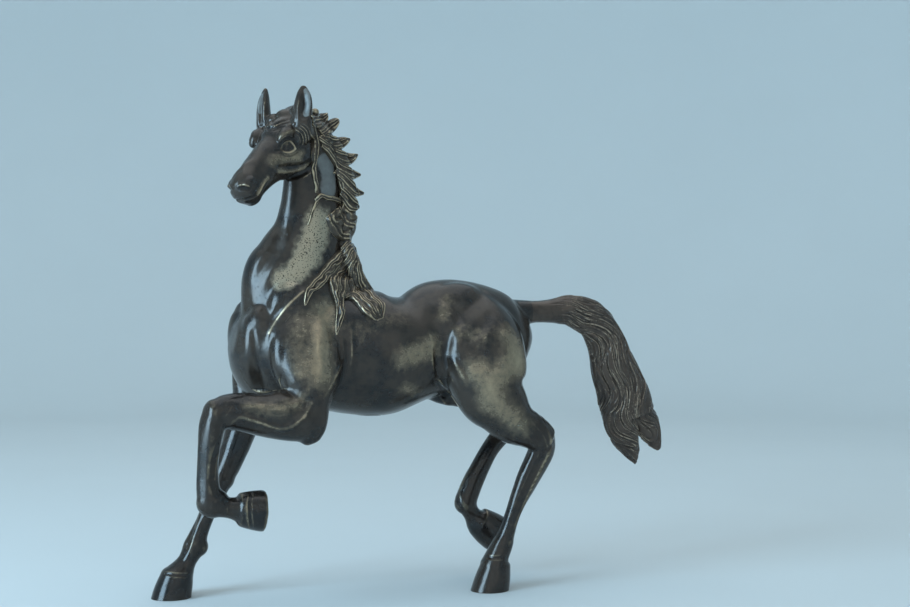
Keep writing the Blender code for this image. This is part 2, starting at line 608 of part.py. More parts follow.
for skin in body_skins:
    for group in list(skin.users_collection):
        group.objects.unlink(skin)
    CUTTERS.objects.link(skin)
    skin.hide_render = True
    skin.display_type = "WIRE"

# The origin lies on the ground under the middle of the statue
lows = [min(v.co[k] for body in parts.values() for v in body.data.vertices) for k in range(3)]
highs = [max(v.co[k] for body in parts.values() for v in body.data.vertices) for k in range(3)]
anchor = bpy.data.objects.new("statue", None)
anchor.location = (-(lows[0] + highs[0]) / 2, -(lows[1] + highs[1]) / 2, -lows[2])
STATUE.objects.link(anchor)
for name, body in parts.items():
    body.name = name
    for group in list(body.users_collection):
        group.objects.unlink(body)
    STATUE.objects.link(body)
    body.parent = anchor
    hair = name.startswith("mane") or name == "tail"
    body.data.materials.clear()
    if hair:
        body.data.materials.append(bronze(name + " bronze", (0.075, 0.058, 0.042), 0.42))
    elif name.endswith("pin") or name.endswith("plug"):
        body.data.materials.append(bronze(name + " bronze", (0.3, 0.2, 0.09), 0.35))
    else:
        body.data.materials.append(bronze(name + " bronze", (0.05, 0.05, 0.055), 0.3))
print("moved by", [round(value / MM, 2) for value in anchor.location])
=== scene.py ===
"""Bronze horse statue: the worked surface of its castings, their patina, and a plain studio."""
import json
import math
from contextlib import contextmanager

import bmesh
import bpy
import numpy as np
from mathutils import Euler, Matrix, Vector, noise
from mathutils.bvhtree import BVHTree

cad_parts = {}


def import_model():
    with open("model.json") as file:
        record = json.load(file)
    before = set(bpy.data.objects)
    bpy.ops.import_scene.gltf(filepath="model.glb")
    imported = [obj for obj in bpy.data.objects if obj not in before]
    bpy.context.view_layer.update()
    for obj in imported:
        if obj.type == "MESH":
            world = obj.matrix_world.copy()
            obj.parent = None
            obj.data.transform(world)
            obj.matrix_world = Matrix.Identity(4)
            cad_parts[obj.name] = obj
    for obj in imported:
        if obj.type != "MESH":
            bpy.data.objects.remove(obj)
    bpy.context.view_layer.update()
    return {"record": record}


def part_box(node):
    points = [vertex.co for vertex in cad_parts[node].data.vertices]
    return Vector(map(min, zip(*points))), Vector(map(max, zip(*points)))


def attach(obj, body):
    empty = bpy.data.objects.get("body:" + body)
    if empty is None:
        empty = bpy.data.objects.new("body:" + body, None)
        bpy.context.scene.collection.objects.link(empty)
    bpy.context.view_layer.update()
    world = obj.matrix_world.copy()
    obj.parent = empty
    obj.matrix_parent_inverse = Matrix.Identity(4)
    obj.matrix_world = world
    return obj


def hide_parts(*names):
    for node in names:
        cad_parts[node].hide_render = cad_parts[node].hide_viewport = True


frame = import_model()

bpy.ops.object.select_all(action="DESELECT")

MM = 0.001

# The form is drawn in millimetres, and this moves it to the frame's origin
SHIFT = (-48.95, 2.07, 0.0)

# Grids that the skin and the hair are worked on, in millimetres, and the faces of a form and of a piece
SKIN_GRID = 0.6
HAIR_GRID = 0.3
LOFT_STEPS = 8
LOFT_SIDES = 56
LUMP_SIDES = 48
LUMP_RINGS = 28
PATH_STEPS = 6
LEAST_HALF = 0.5
MOST_TRIANGLES = 190000

# Points that are measured at a time
BATCH = 4000

# Passes that soften the whole skin, and then the large forms of the trunk. These end above the root of the
# neck, beside the tail and the lower legs, and at their seams, in millimetres.
SKIN_PASSES = 5
TRUNK_PASSES = 60
SOFTENING = 0.5
LEAST_SOFTENED = 0.15
WEIGHT_LEVELS = 10
NECK_ROOT = 180
NECK_FADE = 15
SEAM_FADE = 10
TAIL_REACH = 20
TAIL_SIDE = 15
TAIL_BEFORE = 5
LEG_REACH = 18
LEG_BEFORE = 4

# Soles are cut flat within this height, and the head and the tail get a finer grid, in millimetres
SOLE_REACH = 4
HEAD_DETAIL_FROM = 195
HEAD_DETAIL_BEFORE = 4
TAIL_DETAIL_FROM = 114
TAIL_DETAIL_SIDE = 14

# Unevenness of the casting: size and height of the lumps in millimetres
UNEVEN = ((11, 0.16), (5, 0.05))

# Picture that the strokes below are drawn on: a level camera, with sizes in pixels
PICTURE_WIDTH = 910
PICTURE_HEIGHT = 607
FOCUS = 1455.0
SAMPLE = 0.7
CAMERA_AT = (Vector((-243.6, -764.4, 160.0)) + Vector(SHIFT)) * MM
CAMERA_TURN = math.radians(-22.0)
AHEAD = Vector((-math.sin(CAMERA_TURN), math.cos(CAMERA_TURN), 0))
ACROSS = Vector((math.cos(CAMERA_TURN), math.sin(CAMERA_TURN), 0))
UP = Vector((0, 0, 1))

# Stations are x, y, z of the middle, then the half depth and the half width
BARREL = [
    (-63, 0, 141, 8, 10), (-58, 0, 140, 20, 17), (-49, 0, 138.5, 29, 23), (-35, 0, 137, 33.2, 26),
    (-15, 0, 136, 33.6, 28), (5, 0, 133.8, 34.8, 29.5), (22, 0, 132, 34, 30), (40, 0, 135, 29.6, 28),
    (55, 0, 140, 33, 26), (70, 0, 140.6, 32.4, 25), (85, 0, 140, 29.4, 23), (97, 0, 139.4, 24.8, 19.5),
    (105, 0, 139.4, 17, 14), (110.5, 0, 139, 7, 7),
]
NECK = [
    (-20, 0, 128, 36, 21), (-24, 0, 150, 34, 22.5), (-26.5, 0, 165, 32, 21), (-27.5, 0, 175, 29.5, 18.5),
    (-25, -1, 186, 24.2, 15.5), (-21.7, -2, 199, 19.2, 13), (-20.6, -3.5, 212, 17, 11.5),
    (-21, -5, 226, 15, 10.5), (-21.8, -6.5, 238, 13.2, 10), (-24.5, -8, 249, 11.6, 9.5),
    (-28, -9, 256, 9, 8.5),
]
DOCK = [(78, 0, 149, 17, 15), (90, 0, 152, 13, 12), (101, 0, 154.2, 8.6, 8.4), (112, 0, 155, 6.8, 6.6),
        (124, 0, 155.6, 5, 5)]
TAIL = [
    (101, 0, 154.6, 6.6, 6.4), (110, 0, 155, 6.5, 6.3), (117, 0, 155.3, 6.5, 6.3), (125, 0, 155.7, 7, 6.5),
    (131, 0, 156, 8, 6.9), (137, 0, 156, 9.2, 7.4), (147, 0, 153.3, 10.6, 8), (153.6, -0.3, 148.8, 10.9, 8.4),
    (159.1, -0.6, 140.6, 11.5, 8.8), (162.8, -1, 131.8, 12.6, 9), (166.3, -1, 121.4, 14.5, 9.2),
    (170, -1, 112, 16.1, 9), (174, -1, 101.5, 17.6, 8.6), (177, -1, 92, 17, 8),
]
TAIL_LOCKS = [
    [(166, -2, 106, 9.5, 7), (168.5, -2, 92, 10, 6.6), (173, -2.5, 81, 9, 6), (176.4, -3, 73, 5.8, 4.6),
     (179, -3, 66.8, 2.8, 2.4), (179.4, -3, 63.6, 0.9, 0.9)],
    [(177, 1, 108, 9.5, 7), (184.5, 1, 95, 9.6, 6.6), (190.5, 1, 85.5, 8, 5.6), (194.4, 1, 77.6, 5.2, 3.8),
     (197.6, 1, 71.8, 1.8, 1.6)],
]
TAIL_TIP = (186, -1, 76, 10, 6)

# Strands of the tail: steps along it, reach from its middle, and where they start, in millimetres
TAIL_STEPS = 10
STRANDS_REACH = 24
STRANDS_START = 2
STRANDS_FADE = 25

# The head is drawn along its own axis, from the poll at 0 to the muzzle at 60
HEAD_AT = (-32.7, -9.8, 260)
HEAD_PITCH = 46
HEAD_YAW = 31
SKULL = [
    (-6, 0, -4, 7, 7), (0, 0, -4, 10, 9.5), (7, 0, -6, 13, 11.2), (15, 0, -7, 14.5, 12),
    (23, 0, -7, 13.8, 11.2), (30, 0, -5.4, 11.6, 9.8), (38, 0, -4.2, 10.2, 8.8), (46, 0, -3.6, 9.4, 8.2),
    (53, 0, -3.6, 9.2, 8), (58, 0, -4, 7.4, 6.8), (61, 0, -4.4, 3, 3),
]
HEAD_LUMPS = [
    ((16, 8, -12), (11, 4.6, 8.5)), ((16, -8, -12), (11, 4.6, 8.5)),
    ((17.5, 8.4, 1.6), (7.5, 3.6, 4.2)), ((19, -10.6, 2.2), (7.5, 4, 4.4)),
    ((53.5, 5.4, 0.4), (4.6, 2.6, 3)), ((53.5, -5.4, 0.4), (4.6, 2.6, 3)),
    ((53, 0, -10.6), (5, 4.8, 2.8)), ((4, -1, 1.8), (5.5, 6.5, 5.4)), ((0, 5.5, 2.6), (4.5, 3.6, 4.4)),
    ((6.4, -7.4, 1.8), (5, 5, 5)),
]
LEFT_EAR = [
    (-32.6, -19, 244.5, 3.6, 4.6), (-32, -21.8, 250, 4.8, 6.6), (-31, -22.3, 258, 4.6, 5.7),
    (-30.1, -22.3, 266, 4.2, 4.9), (-29.9, -21.8, 271.5, 3, 3.5), (-30, -21.2, 275.2, 0.9, 1.2),
]
RIGHT_EAR = [
    (-41, -3, 245.5, 4, 4), (-44.6, -0.8, 252, 4.7, 4.5), (-45.6, 0.2, 260, 4.8, 4),
    (-45.4, 0.8, 267, 4.4, 3.2), (-44.8, 1, 272, 3, 2.2), (-44.4, 1, 276, 0.8, 0.8),
]
EAR_ACROSS = (0.8, -0.6, 0)

# Muscles: middle, three half sizes and the turn about Y in degrees
MUSCLES = [
    ((-49.5, -10.5, 139), (12, 11.5, 21), 0), ((-51, 10.5, 142), (12, 11.5, 21), 0),
    ((-29, -15.5, 147), (18, 10.5, 27), -22), ((-29, 15.5, 147), (18, 10.5, 27), -22),
    ((10, 0, 155), (22, 9, 9.5), 5), ((62, -10, 152), (22, 13, 20), 0), ((62, 10, 152), (22, 13, 20), 0),
]

# Sheath under the belly
SHEATH = [(46, -1, 112, 4, 5), (54, -1.5, 109, 5, 5.5), (62, -2, 106.6, 4.8, 5), (70, -2, 105.4, 4, 4.5),
          (78, -2, 106, 3, 3.5)]

# Legs: runs of the thigh or shoulder, runs below the seam, joints, hoof (sole, up, toe) and seam
LEGS = {
    "left_fore_leg": {
        "runs": [
            [(-21, -8, 168, 7, 4), (-26, -16, 153, 14, 8.5), (-29, -22.5, 137, 18.5, 11.5),
             (-28, -27, 122, 17, 12), (-28.5, -29.5, 108, 11.5, 11), (-28, -31, 97, 6.5, 8)],
            [(-28, -30, 116, 10, 9), (-27.2, -31, 104, 8.4, 8), (-28.6, -31, 95, 8.4, 7),
             (-28.2, -31, 90, 7, 5), (-27, -31, 86.8, 4, 2.8)],
            [(-25.5, -31, 95.5, 7.4, 7), (-31, -31, 98.6, 11.4, 9.5), (-43, -31, 101.6, 12.8, 10.5),
             (-56, -31.5, 103, 11.4, 10), (-66, -32, 104.4, 10, 9.2), (-74, -32, 104.6, 9, 8.6),
             (-80, -32, 103.6, 7, 7.4)],
        ],
        "lower": [
            [(-78.6, -32, 106.4, 6, 7.2), (-80.8, -32, 98, 6.6, 7.2), (-82.4, -32, 87, 5.5, 6),
             (-83, -32, 76, 5.3, 5.4), (-82.8, -32, 66, 5.9, 5.8), (-81, -32, 58, 7.6, 6.8)],
            [(-82, -32, 58, 6.6, 6.4), (-74, -32, 56, 5.4, 6), (-69, -32, 55, 6, 6.6),
             (-64, -32, 54, 8.4, 8.2), (-61, -32, 53.6, 8.8, 8.6)],
        ],
        "knots": [((-79.4, -32, 103), (6.4, 8, 8.6)), ((-80.5, -32, 58.6), (8.6, 7, 7.8))],
        "hoof": ((-53.5, -32, 53), (-1, 0, 0.06), (0, 0, -1)),
        "seam": ((-60, -31.7, 103.5), (-0.992, -0.05, 0.12)),
    },
    "right_fore_leg": {
        "runs": [
            [(-25, 8, 168, 7, 4), (-33, 15, 150, 14, 8.5), (-39.5, 20.5, 134, 15.5, 11),
             (-43, 23, 119, 13.5, 11), (-46.5, 24, 107, 11, 10), (-50.5, 24.5, 95, 9.2, 9),
             (-55, 25, 82, 8, 8.2)],
        ],
        "lower": [
            [(-52, 24.6, 91, 8.7, 8.6), (-55, 25, 82, 8, 8.2), (-59.4, 25.4, 71, 7, 7.4),
             (-63.8, 25.8, 62, 6.4, 7.2), (-68, 26.2, 51.5, 5, 5.7), (-71.8, 26.6, 42, 4.5, 4.9),
             (-74.9, 27, 34, 4.8, 5.1), (-77.4, 27.2, 27, 6, 6), (-81.4, 27.4, 19.6, 5.1, 6.3),
             (-85.2, 27.5, 13, 7.7, 8.4)],
        ],
        "knots": [((-62.3, 25.7, 64.5), (6.8, 7.6, 7.6)), ((-75.4, 27.2, 27), (5.4, 5.8, 5.8)),
                  ((-86.9, 27.5, 13.4), (8.7, 8.3, 4))],
        "hoof": ((-90.3, 27.5, 0), (0, 0, 1), (-1, 0, 0)),
        "seam": ((-49, 24.3, 99), (-0.32, 0.04, -0.946)),
    },
    "left_hind_leg": {
        "runs": [
            [(62, -5, 165, 12, 7), (66.5, -12, 153, 21, 12), (71, -18, 139, 26, 16.5),
             (74, -22, 125, 25, 17.5), (77, -24.5, 110.5, 20.5, 15.5), (83.5, -25.6, 101.4, 16.2, 13),
             (89.2, -26.2, 94.8, 13.4, 11.4), (96, -26.5, 91, 11, 10), (103, -27, 87.6, 9.8, 8.8)],
        ],
        "lower": [
            [(86.5, -26, 97.6, 14.6, 12), (92.5, -26.4, 92.8, 12.2, 10.6), (99, -26.8, 89.4, 10.3, 9.2),
             (104.5, -27, 86.4, 9.4, 8.4), (109.5, -27, 83, 8, 7.6)],
            [(107.6, -26.6, 87, 6.8, 6.6), (107.4, -26, 79, 7.5, 6.6), (104.2, -25, 71, 7.2, 6),
             (99.2, -23.8, 61, 6.6, 5.4), (94.7, -22.6, 51, 5.2, 4.8), (91.1, -21.4, 41.5, 4.2, 4.5),
             (88.4, -20.2, 32, 4.7, 4.8), (86.1, -19.4, 25.5, 6, 5.8), (83.1, -18.8, 19, 6.6, 7),
             (81.1, -18.5, 13, 8, 8.4)],
        ],
        "knots": [((107.8, -26.6, 83.6), (6.4, 7.2, 8.2)), ((87.2, -19.6, 27), (5.2, 5.6, 5.8)),
                  ((82, -18.5, 13.4), (8.7, 8.3, 4))],
        "hoof": ((78.6, -18.5, 0), (0, 0, 1), (-1, 0, 0)),
        "seam": ((88.5, -26.2, 95.4), (0.8, -0.05, -0.6)),
    },
    "right_hind_leg": {
        "runs": [
            [(62, 5, 165, 12, 7), (67, 12, 154, 21, 12), (73, 18, 140, 25, 16), (79, 22, 127, 21, 16),
             (88, 23.5, 116, 15, 13), (98, 24, 108.5, 11.6, 11), (107, 24, 103, 10, 9.4),
             (114, 24, 99, 9, 8)],
        ],
        "lower": [
            [(94, 23.8, 111.5, 12.8, 12), (101, 24, 106.5, 11, 10.4), (108, 24, 102.4, 9.8, 9),
             (117, 24, 97, 8, 7.4)],
            [(117.5, 24, 101, 7, 6.6), (113, 24, 93, 7.4, 6.6), (106.5, 24, 85, 6.4, 6),
             (97.5, 24, 74.5, 5.4, 5.2), (91, 24, 64, 5.8, 5.2), (85.8, 24, 54, 6.4, 5.6),
             (81.4, 24, 44, 6.6, 6)],
            [(81.4, 24, 43.6, 6.2, 6), (83.6, 24, 39.6, 5.2, 5.4), (86, 24, 36, 5.2, 5.6),
             (88.4, 24, 33, 7, 7), (90.6, 24, 30.6, 8, 8)],
        ],
        "knots": [((116, 24, 97), (6.6, 7, 8)), ((81.6, 24, 43), (6.8, 6.2, 6.6))],
        "hoof": ((101, 24, 24), (-0.85, 0, 0.53), (-0.53, 0, -0.85)),
        "seam": ((95.5, 23.8, 110.4), (0.83, 0.03, -0.557)),
    },
}
HOOF_LENGTH = 22.0
HOOF_WIDTH = 20.0
HOOF_HEIGHT = 14.0

# Rows of a hoof's wall: share of its height, of its length and of its width. The wall leans back by a
# share of the height.
HOOF_ROWS = ((-0.2, 1, 1), (0, 1, 1), (0.5, 0.93, 0.94), (1, 0.78, 0.82))
PLANTED_LEAN = 0.24
RAISED_LEAN = 0.05

# Seams of the other castings: a point, the way the seam faces, and how far it reaches
NECK_SEAM = ((-22.5, -1, 187), (0, 0, 1), 60)
HEAD_SEAM = ((-29.5, -8, 241), (-0.835, -0.386, 0.394), 32)
TAIL_SEAM = ((111, 0, 155), (1, 0, 0), 16)
LEG_SEAM_REACH = 18

# Plug in the belly, which faces down, and the skin sunk below its rim
PLUG_AT = (14, 0, 97)
PLUG_RADIUS = 6.4
PLUG_THICKNESS = 7
PLUG_NEAR = 8
PLUG_RIM = 0.5
FACES_DOWN = -0.3

# Pins through the seams
PIN_RADIUS = 1.5
PIN_SHORT = 3.0
PIN_SIDES = 32
PIN_ROUND = 0.4

# Comb of the mane
CREST = [
    (-23, -8.5, 258, 4.2, 4.6), (-15.8, -8, 250.4, 5.2, 5), (-9.6, -7, 242, 5.6, 5), (-5, -6, 232, 5.6, 5.4),
    (-2.2, -5, 222, 5.4, 5.8), (-0.2, -4, 211, 5, 6), (-1, -3.5, 202, 3.6, 5), (-3, -3, 196, 1.6, 2.4),
]

# Strokes on the picture: width and height in millimetres, then the points of the stroke.
# A ridge is raised along the stroke, a fold lifts the side to the right of it and sinks the other, and a
# flat stroke planes the skin down by a share of its roundness.
STROKE_END = 0.06
FOLD_GAIN = 2.5
SEEN = 0.1
TRUNK_STROKES = [
    ("ridge", 5.0, -0.8, [(279.5, 224), (277, 244), (264, 266), (258, 280)]),
    ("ridge", 5.0, 0.5, [(303, 214), (296, 234), (286, 254), (274, 271)]),
    ("ridge", 4.0, -0.4, [(246.5, 298), (248, 310), (249.5, 322)]),
    ("ridge", 2.6, -0.5, [(252.5, 332), (254.5, 350), (258, 368), (264, 386)]),
    ("fold", 12.0, 2.0, [(272, 394), (268, 370), (266, 350), (265, 330)]),
    ("fold", 5.0, 0.6, [(271, 330), (277, 319), (288, 304), (303, 291)]),
    ("ridge", 1.2, 0.22, [(303, 291.5), (289, 304), (277, 319.5), (269.5, 333), (267.5, 347)]),
    ("ridge", 6.0, -0.5, [(306, 303), (311, 320), (309, 338), (304, 353)]),
    ("ridge", 7.0, 0.5, [(321, 322), (322, 345), (321, 372)]),
    ("ridge", 2.4, -0.25, [(312, 326), (313.5, 340), (314, 354), (318, 372)]),
    ("ridge", 3.6, -0.4, [(331, 332), (332.5, 348), (330, 370)]),
    ("ridge", 2.2, 0.4, [(342.5, 340), (341.5, 362), (335, 378), (324, 398)]),
    ("ridge", 2.6, -0.45, [(346.5, 338), (347, 358), (342, 379), (331, 399)]),
    ("ridge", 3.0, 0.2, [(350.5, 322), (352, 342), (353, 367)]),
    ("ridge", 3.0, -0.3, [(355.5, 320), (357, 345), (356.5, 371)]),
    ("ridge", 4.0, -0.6, [(440, 350), (442, 362), (448, 376)]),
    ("fold", 11.0, 2.0, [(451, 354), (450, 341), (446, 328), (439, 317)]),
    ("fold", 4.0, 0.8, [(441, 375), (439, 362), (438, 350)]),
    ("fold", 5.0, 0.9, [(463, 385), (457, 374), (451, 363)]),
    ("ridge", 1.6, 0.6, [(438.5, 379.5), (448, 390), (459, 406)]),
    ("ridge", 3.0, -0.7, [(434.5, 381), (443, 393), (453, 407)]),
    ("ridge", 6.0, -0.7, [(461, 352), (470, 340), (480, 328), (488, 316)]),
    ("ridge", 5.0, 0.4, [(466, 358), (477, 346), (488, 334)]),
    ("ridge", 6.0, -0.5, [(492, 318), (495, 340), (494, 362)]),
    ("ridge", 6.0, 0.4, [(506, 322), (508, 344), (505, 366)]),
    ("ridge", 7.0, 0.3, [(372, 322), (368, 342), (369, 362)]),
    ("ridge", 7.0, 0.3, [(388, 318), (384, 340), (386, 362)]),
    ("ridge", 7.0, 0.3, [(404, 314), (401, 334), (404, 356)]),
]
LEG_STROKES = [
    ("ridge", 4.0, -0.4, [(232, 396), (248, 399), (266, 399), (286, 394), (302, 386)]),
    ("ridge", 3.0, 0.4, [(308, 390), (298, 402.5), (279, 408.5), (262, 405.5), (247, 406)]),
    ("ridge", 3.6, -0.5, [(306, 402), (299, 412), (289, 419), (279, 421.5), (264, 417), (248, 412)]),
    ("ridge", 2.4, 0.55,
     [(311, 404), (304, 417), (291, 427), (278, 428.5), (260, 423), (240, 418), (228, 427)]),
    ("ridge", 0.9, -0.15, [(222, 398), (219, 404), (215, 409)]),
    ("ridge", 0.9, -0.15, [(227, 399), (224, 406), (218, 413)]),
    ("ridge", 0.9, -0.15, [(232, 402), (228, 410), (221, 418)]),
    ("flat", 8.0, 0.9, [(206, 408), (203.5, 440), (202, 470), (202.5, 500)]),
    ("flat", 7.0, 0.8, [(196, 520), (190, 536), (184, 552)]),
    ("ridge", 2.4, -0.3, [(221, 438), (214, 458), (211.5, 480), (217, 497)]),
    ("ridge", 2.0, 0.2, [(226, 437), (217.5, 458), (215, 478)]),
    ("ridge", 1.6, -0.25, [(231.5, 500), (230, 508), (231.5, 516)]),
    ("ridge", 1.2, -0.4, [(251, 493), (249.6, 505), (250, 518), (252, 530)]),
    ("ridge", 1.8, 0.2, [(248, 496), (246.5, 506), (247, 518), (249, 528)]),
    ("ridge", 2.2, 0.4, [(536, 412), (547, 430), (551, 447), (543, 466), (531, 490), (518, 519), (509, 545)]),
    ("ridge", 2.6, -0.6, [(529, 424), (540, 438), (543.5, 452), (536, 468), (524.5, 492), (512, 521)]),
    ("ridge", 2.8, 0.4, [(520, 428), (530, 440), (533, 452), (526, 470)]),
    ("ridge", 1.3, -0.4, [(486, 556), (493, 558), (506, 557)]),
    ("ridge", 1.3, -0.35, [(166, 573.6), (176, 575), (188, 575.6)]),
    ("ridge", 2.4, -0.4, [(198, 516), (191, 535), (186, 552)]),
    ("ridge", 2.6, 0.4, [(470, 470), (460, 492), (468, 512)]),
]
HEAD_STROKES = [
    ("ridge", 6.0, -1.0, [(287, 145.5)]),
    ("ridge", 2.8, 0.45, [(279.5, 138.4), (284, 133.6), (290, 131), (296, 132)]),
    ("ridge", 3.0, 0.9, [(286.4, 146.6), (289.4, 146.8)]),
    ("ridge", 0.9, -0.4, [(280, 144.6), (283.4, 139.6), (288, 137.6), (293, 139), (297, 143.6)]),
    ("ridge", 0.9, 0.5,
     [(281, 149.2), (283, 144.4), (286.6, 141.4), (290.6, 141.6), (293.8, 145), (295.6, 148.6)]),
    ("ridge", 0.8, 0.4, [(281.4, 149.6), (284.6, 151.8), (288.8, 152.4), (292.6, 151.2), (295.4, 149)]),
    ("ridge", 0.6, -0.35, [(282.8, 148.8), (284.8, 145.2), (287.6, 143.4), (291, 144), (293.6, 147.2)]),
    ("ridge", 0.7, -0.35, [(287.8, 147.2)]),
    ("ridge", 0.9, -0.4, [(275.5, 150.8), (280.2, 150)]),
    ("ridge", 0.9, -0.3, [(280, 154.4), (286, 156.2), (292, 155.6), (298, 152.4)]),
    ("ridge", 0.9, -0.7, [(295, 130.8), (300.2, 135.9), (301.9, 141.1), (301, 146.4)]),
    ("ridge", 0.9, -0.7, [(297.6, 128.2), (302.6, 132.6), (304.8, 138), (304.4, 145)]),
    ("ridge", 0.9, -0.7, [(299.6, 126.4), (305, 130.6), (307.4, 137), (307.4, 144)]),
    ("ridge", 0.9, -0.7, [(302, 124.6), (307.4, 129.2), (309.8, 136), (310.4, 143)]),
    ("ridge", 5.0, 0.8, [(272.7, 163), (279.5, 160), (288.2, 158.3), (296.8, 160), (302.8, 161)]),
    ("ridge", 3.0, -0.9, [(277, 168.6), (288.2, 167), (296.8, 166), (308, 163.4)]),
    ("ridge", 2.2, 0.6, [(277, 171.4), (288.2, 171.8), (296.8, 170.8), (304.6, 168), (309, 164)]),
    ("ridge", 2.4, -1.0, [(276, 176.4), (289, 176.6), (301, 174), (311, 168)]),
    ("ridge", 1.0, -0.6, [(234.8, 199.2), (243.4, 199.8), (252, 197.4), (258, 193.6)]),
    ("ridge", 0.9, -0.4, [(258, 193.6), (260.4, 188), (264.4, 180)]),
    ("ridge", 0.9, -0.4, [(262, 193), (265.4, 185), (269.5, 178.4)]),
    ("ridge", 1.2, 0.35, [(259.8, 193), (262.8, 185.6), (267, 178.6)]),
    ("ridge", 1.8, -0.9, [(239.5, 188.6), (244, 188), (248.6, 189.2)]),
    ("ridge", 1.5, 0.45, [(238, 186.6), (241, 185.2), (245, 185), (249.8, 187)]),
    ("ridge", 3.0, 0.4, [(244.3, 160), (244.6, 171), (245.1, 181)]),
    ("ridge", 4.0, -0.5, [(268, 154), (262, 167), (258, 178)]),
    ("ridge", 1.2, 0.5, [(258, 128.4), (268.4, 126.6), (278.7, 121.4), (287, 118)]),
    ("ridge", 0.9, -0.4, [(262, 129.6), (272, 127.4), (280.6, 122.6), (288.4, 119.8)]),
    ("ridge", 1.2, 0.5, [(271, 129), (279.5, 124.4), (289, 121.6)]),
    ("ridge", 0.9, -0.4, [(274, 131), (283, 126.4), (291, 123.6)]),
]
EAR_STROKES = [
    ("ridge", 4.2, -3.2, [(304.6, 91), (305, 99), (304.8, 107), (304, 114)]),
    ("ridge", 1.4, 0.5, [(298, 118), (298.5, 106), (301, 93)]),
    ("ridge", 2.2, -1.4, [(262.8, 94), (261, 103), (260.5, 113), (260.5, 123)]),
]

# Hair on the picture: strands and thickness in millimetres of each lock, then its first and last line
CREST_LOCKS = [
    (3, 1.8, [(311, 115), (317.5, 113.6), (323, 113), (328, 112.6)],
     [(313, 130), (321, 129), (327, 122), (328.4, 113.8)]),
    (3, 1.8, [(318, 130), (327, 121.5), (332, 118.4), (336, 117.8), (339.4, 119.6)],
     [(324, 138), (332, 133.6), (336.5, 129), (338.5, 125), (339.8, 121)]),
    (4, 1.9, [(322, 132), (330.6, 135.4), (336, 137), (343, 136.8), (350.2, 138)],
     [(324, 146), (333, 150.6), (341, 149.6), (346.6, 145.4), (350.6, 140)]),
    (4, 2.0, [(331, 145), (338.3, 149.4), (343.6, 151.4), (349.7, 153), (358, 153.6)],
     [(333, 158), (340.5, 164.6), (346.6, 166.5), (353.4, 162.6), (358.4, 155.6)]),
    (4, 2.0, [(322, 138), (332, 149.6), (340, 160.6), (347.5, 166.6), (353, 169.4), (361, 173.6)],
     [(321, 147), (328, 157), (335, 168), (343, 175.4), (351.6, 180), (361, 176)]),
    (4, 2.0, [(337, 165), (346, 173.6), (351.6, 181), (357, 187.8), (364.3, 192)],
     [(333, 173), (342, 183.6), (347.4, 191.6), (354, 197), (364, 194.8)]),
    (4, 1.9, [(342, 182), (349, 190.6), (355.4, 199), (360, 206.4)],
     [(339, 195), (344, 204), (349.7, 212), (359.6, 208.6)]),
    (4, 1.7, [(315, 139), (325, 147.4), (333.4, 161), (337, 176.6), (341, 192), (343, 203)],
     [(325, 133), (335.6, 145.6), (344.2, 161), (349.4, 175), (351, 189), (351, 207)]),
    (2, 1.3, [(309, 126), (311.6, 143.6), (311.4, 155), (311, 166), (312, 177), (314, 186), (315.4, 195)],
     [(315, 126), (318.6, 143.6), (318, 155), (316.4, 166), (316.8, 177), (318.4, 186), (319, 195)]),
    (2, 1.4, [(314, 199), (319, 193), (326, 195), (332, 195.6), (338.3, 198), (345, 199)],
     [(317, 202.6), (321, 198), (326, 200.6), (332, 201.4), (338.3, 204), (345, 207)]),
    (1, 0.9, [(316, 198), (312, 208), (309, 217.8), (307, 226)],
     [(319, 201), (315, 209), (312, 218), (309, 227)]),
]
FALL_LOCKS = [
    (5, 2.0, [(325.4, 217), (327, 224), (330, 231), (335.6, 238), (344.2, 241.6), (351.4, 240)],
     [(345, 201), (347, 206), (349.6, 210), (353, 212), (355.6, 215), (357.2, 221.4)]),
    (4, 2.1, [(347, 238), (341, 247.6), (333.9, 254.2), (325.2, 263.6), (318.4, 273.1), (308.9, 284.3),
              (304.2, 292.4), (304.6, 306)],
     [(354, 246), (349, 253.6), (342.5, 260), (335.6, 270), (328.7, 280), (320.6, 288.4), (312, 294),
      (306.6, 305)]),
    (6, 2.0, [(353, 243), (342, 258), (334.7, 269), (328, 280), (330, 290.3), (333.4, 301), (335.4, 312),
              (335.6, 333)],
     [(356, 250), (354.6, 262), (350, 274), (346.6, 284), (345, 292), (344, 302), (344.6, 315), (337, 336)]),
    (7, 2.1, [(352.4, 246), (347, 268), (343.6, 283), (344, 293.8), (352.8, 299.6), (361.4, 308),
              (370, 316.2), (380, 319.4)],
     [(355.8, 247), (361.4, 272), (367, 281.6), (371.4, 288.4), (376.6, 296), (381.4, 302), (385.4, 306.7),
      (383.4, 318)]),
    (3, 1.7, [(341.6, 295), (349.6, 291.6), (356, 296), (362, 302.4), (371, 310), (382, 317.6)],
     [(341.6, 301), (349.4, 299.6), (357, 306), (362, 313), (368.7, 318.6), (378, 320.6)]),
]

# Knob behind the left ear, and the root that the falls grow from
KNOB = ((-19.8, -9, 263.2), (2.2, 2, 2))
MANE_ROOT = [
    (-3, -3.5, 209, 4.6, 4.6), (-1, -4, 202.5, 6, 5), (-2.6, -4, 196, 4.8, 5), (-2, -4.5, 189, 5, 5.4),
    (0.2, -5, 183, 5, 6), (4.4, -5, 174.6, 5, 6), (9, -4.5, 168, 4.4, 5.5), (15, -4, 163, 2, 3),
]

# Strands of a lock: faces across one, their relief, the least height and how far a fall is sunk, with heights
# in millimetres, and how much they wave
STRAND_SIDES = 6
STRAND_RELIEF = 1.2
LEAST_HAIR = 0.12
HAIR_SUNK = 0.8
CREST_SWAY = 0.3
FALL_SWAY = 1
EVENED_ALONG = 3

# Hair that lies deep in the skin is brought up under it from this far
HAIR_REACH = 12
HAIR_DEEP = 0.7

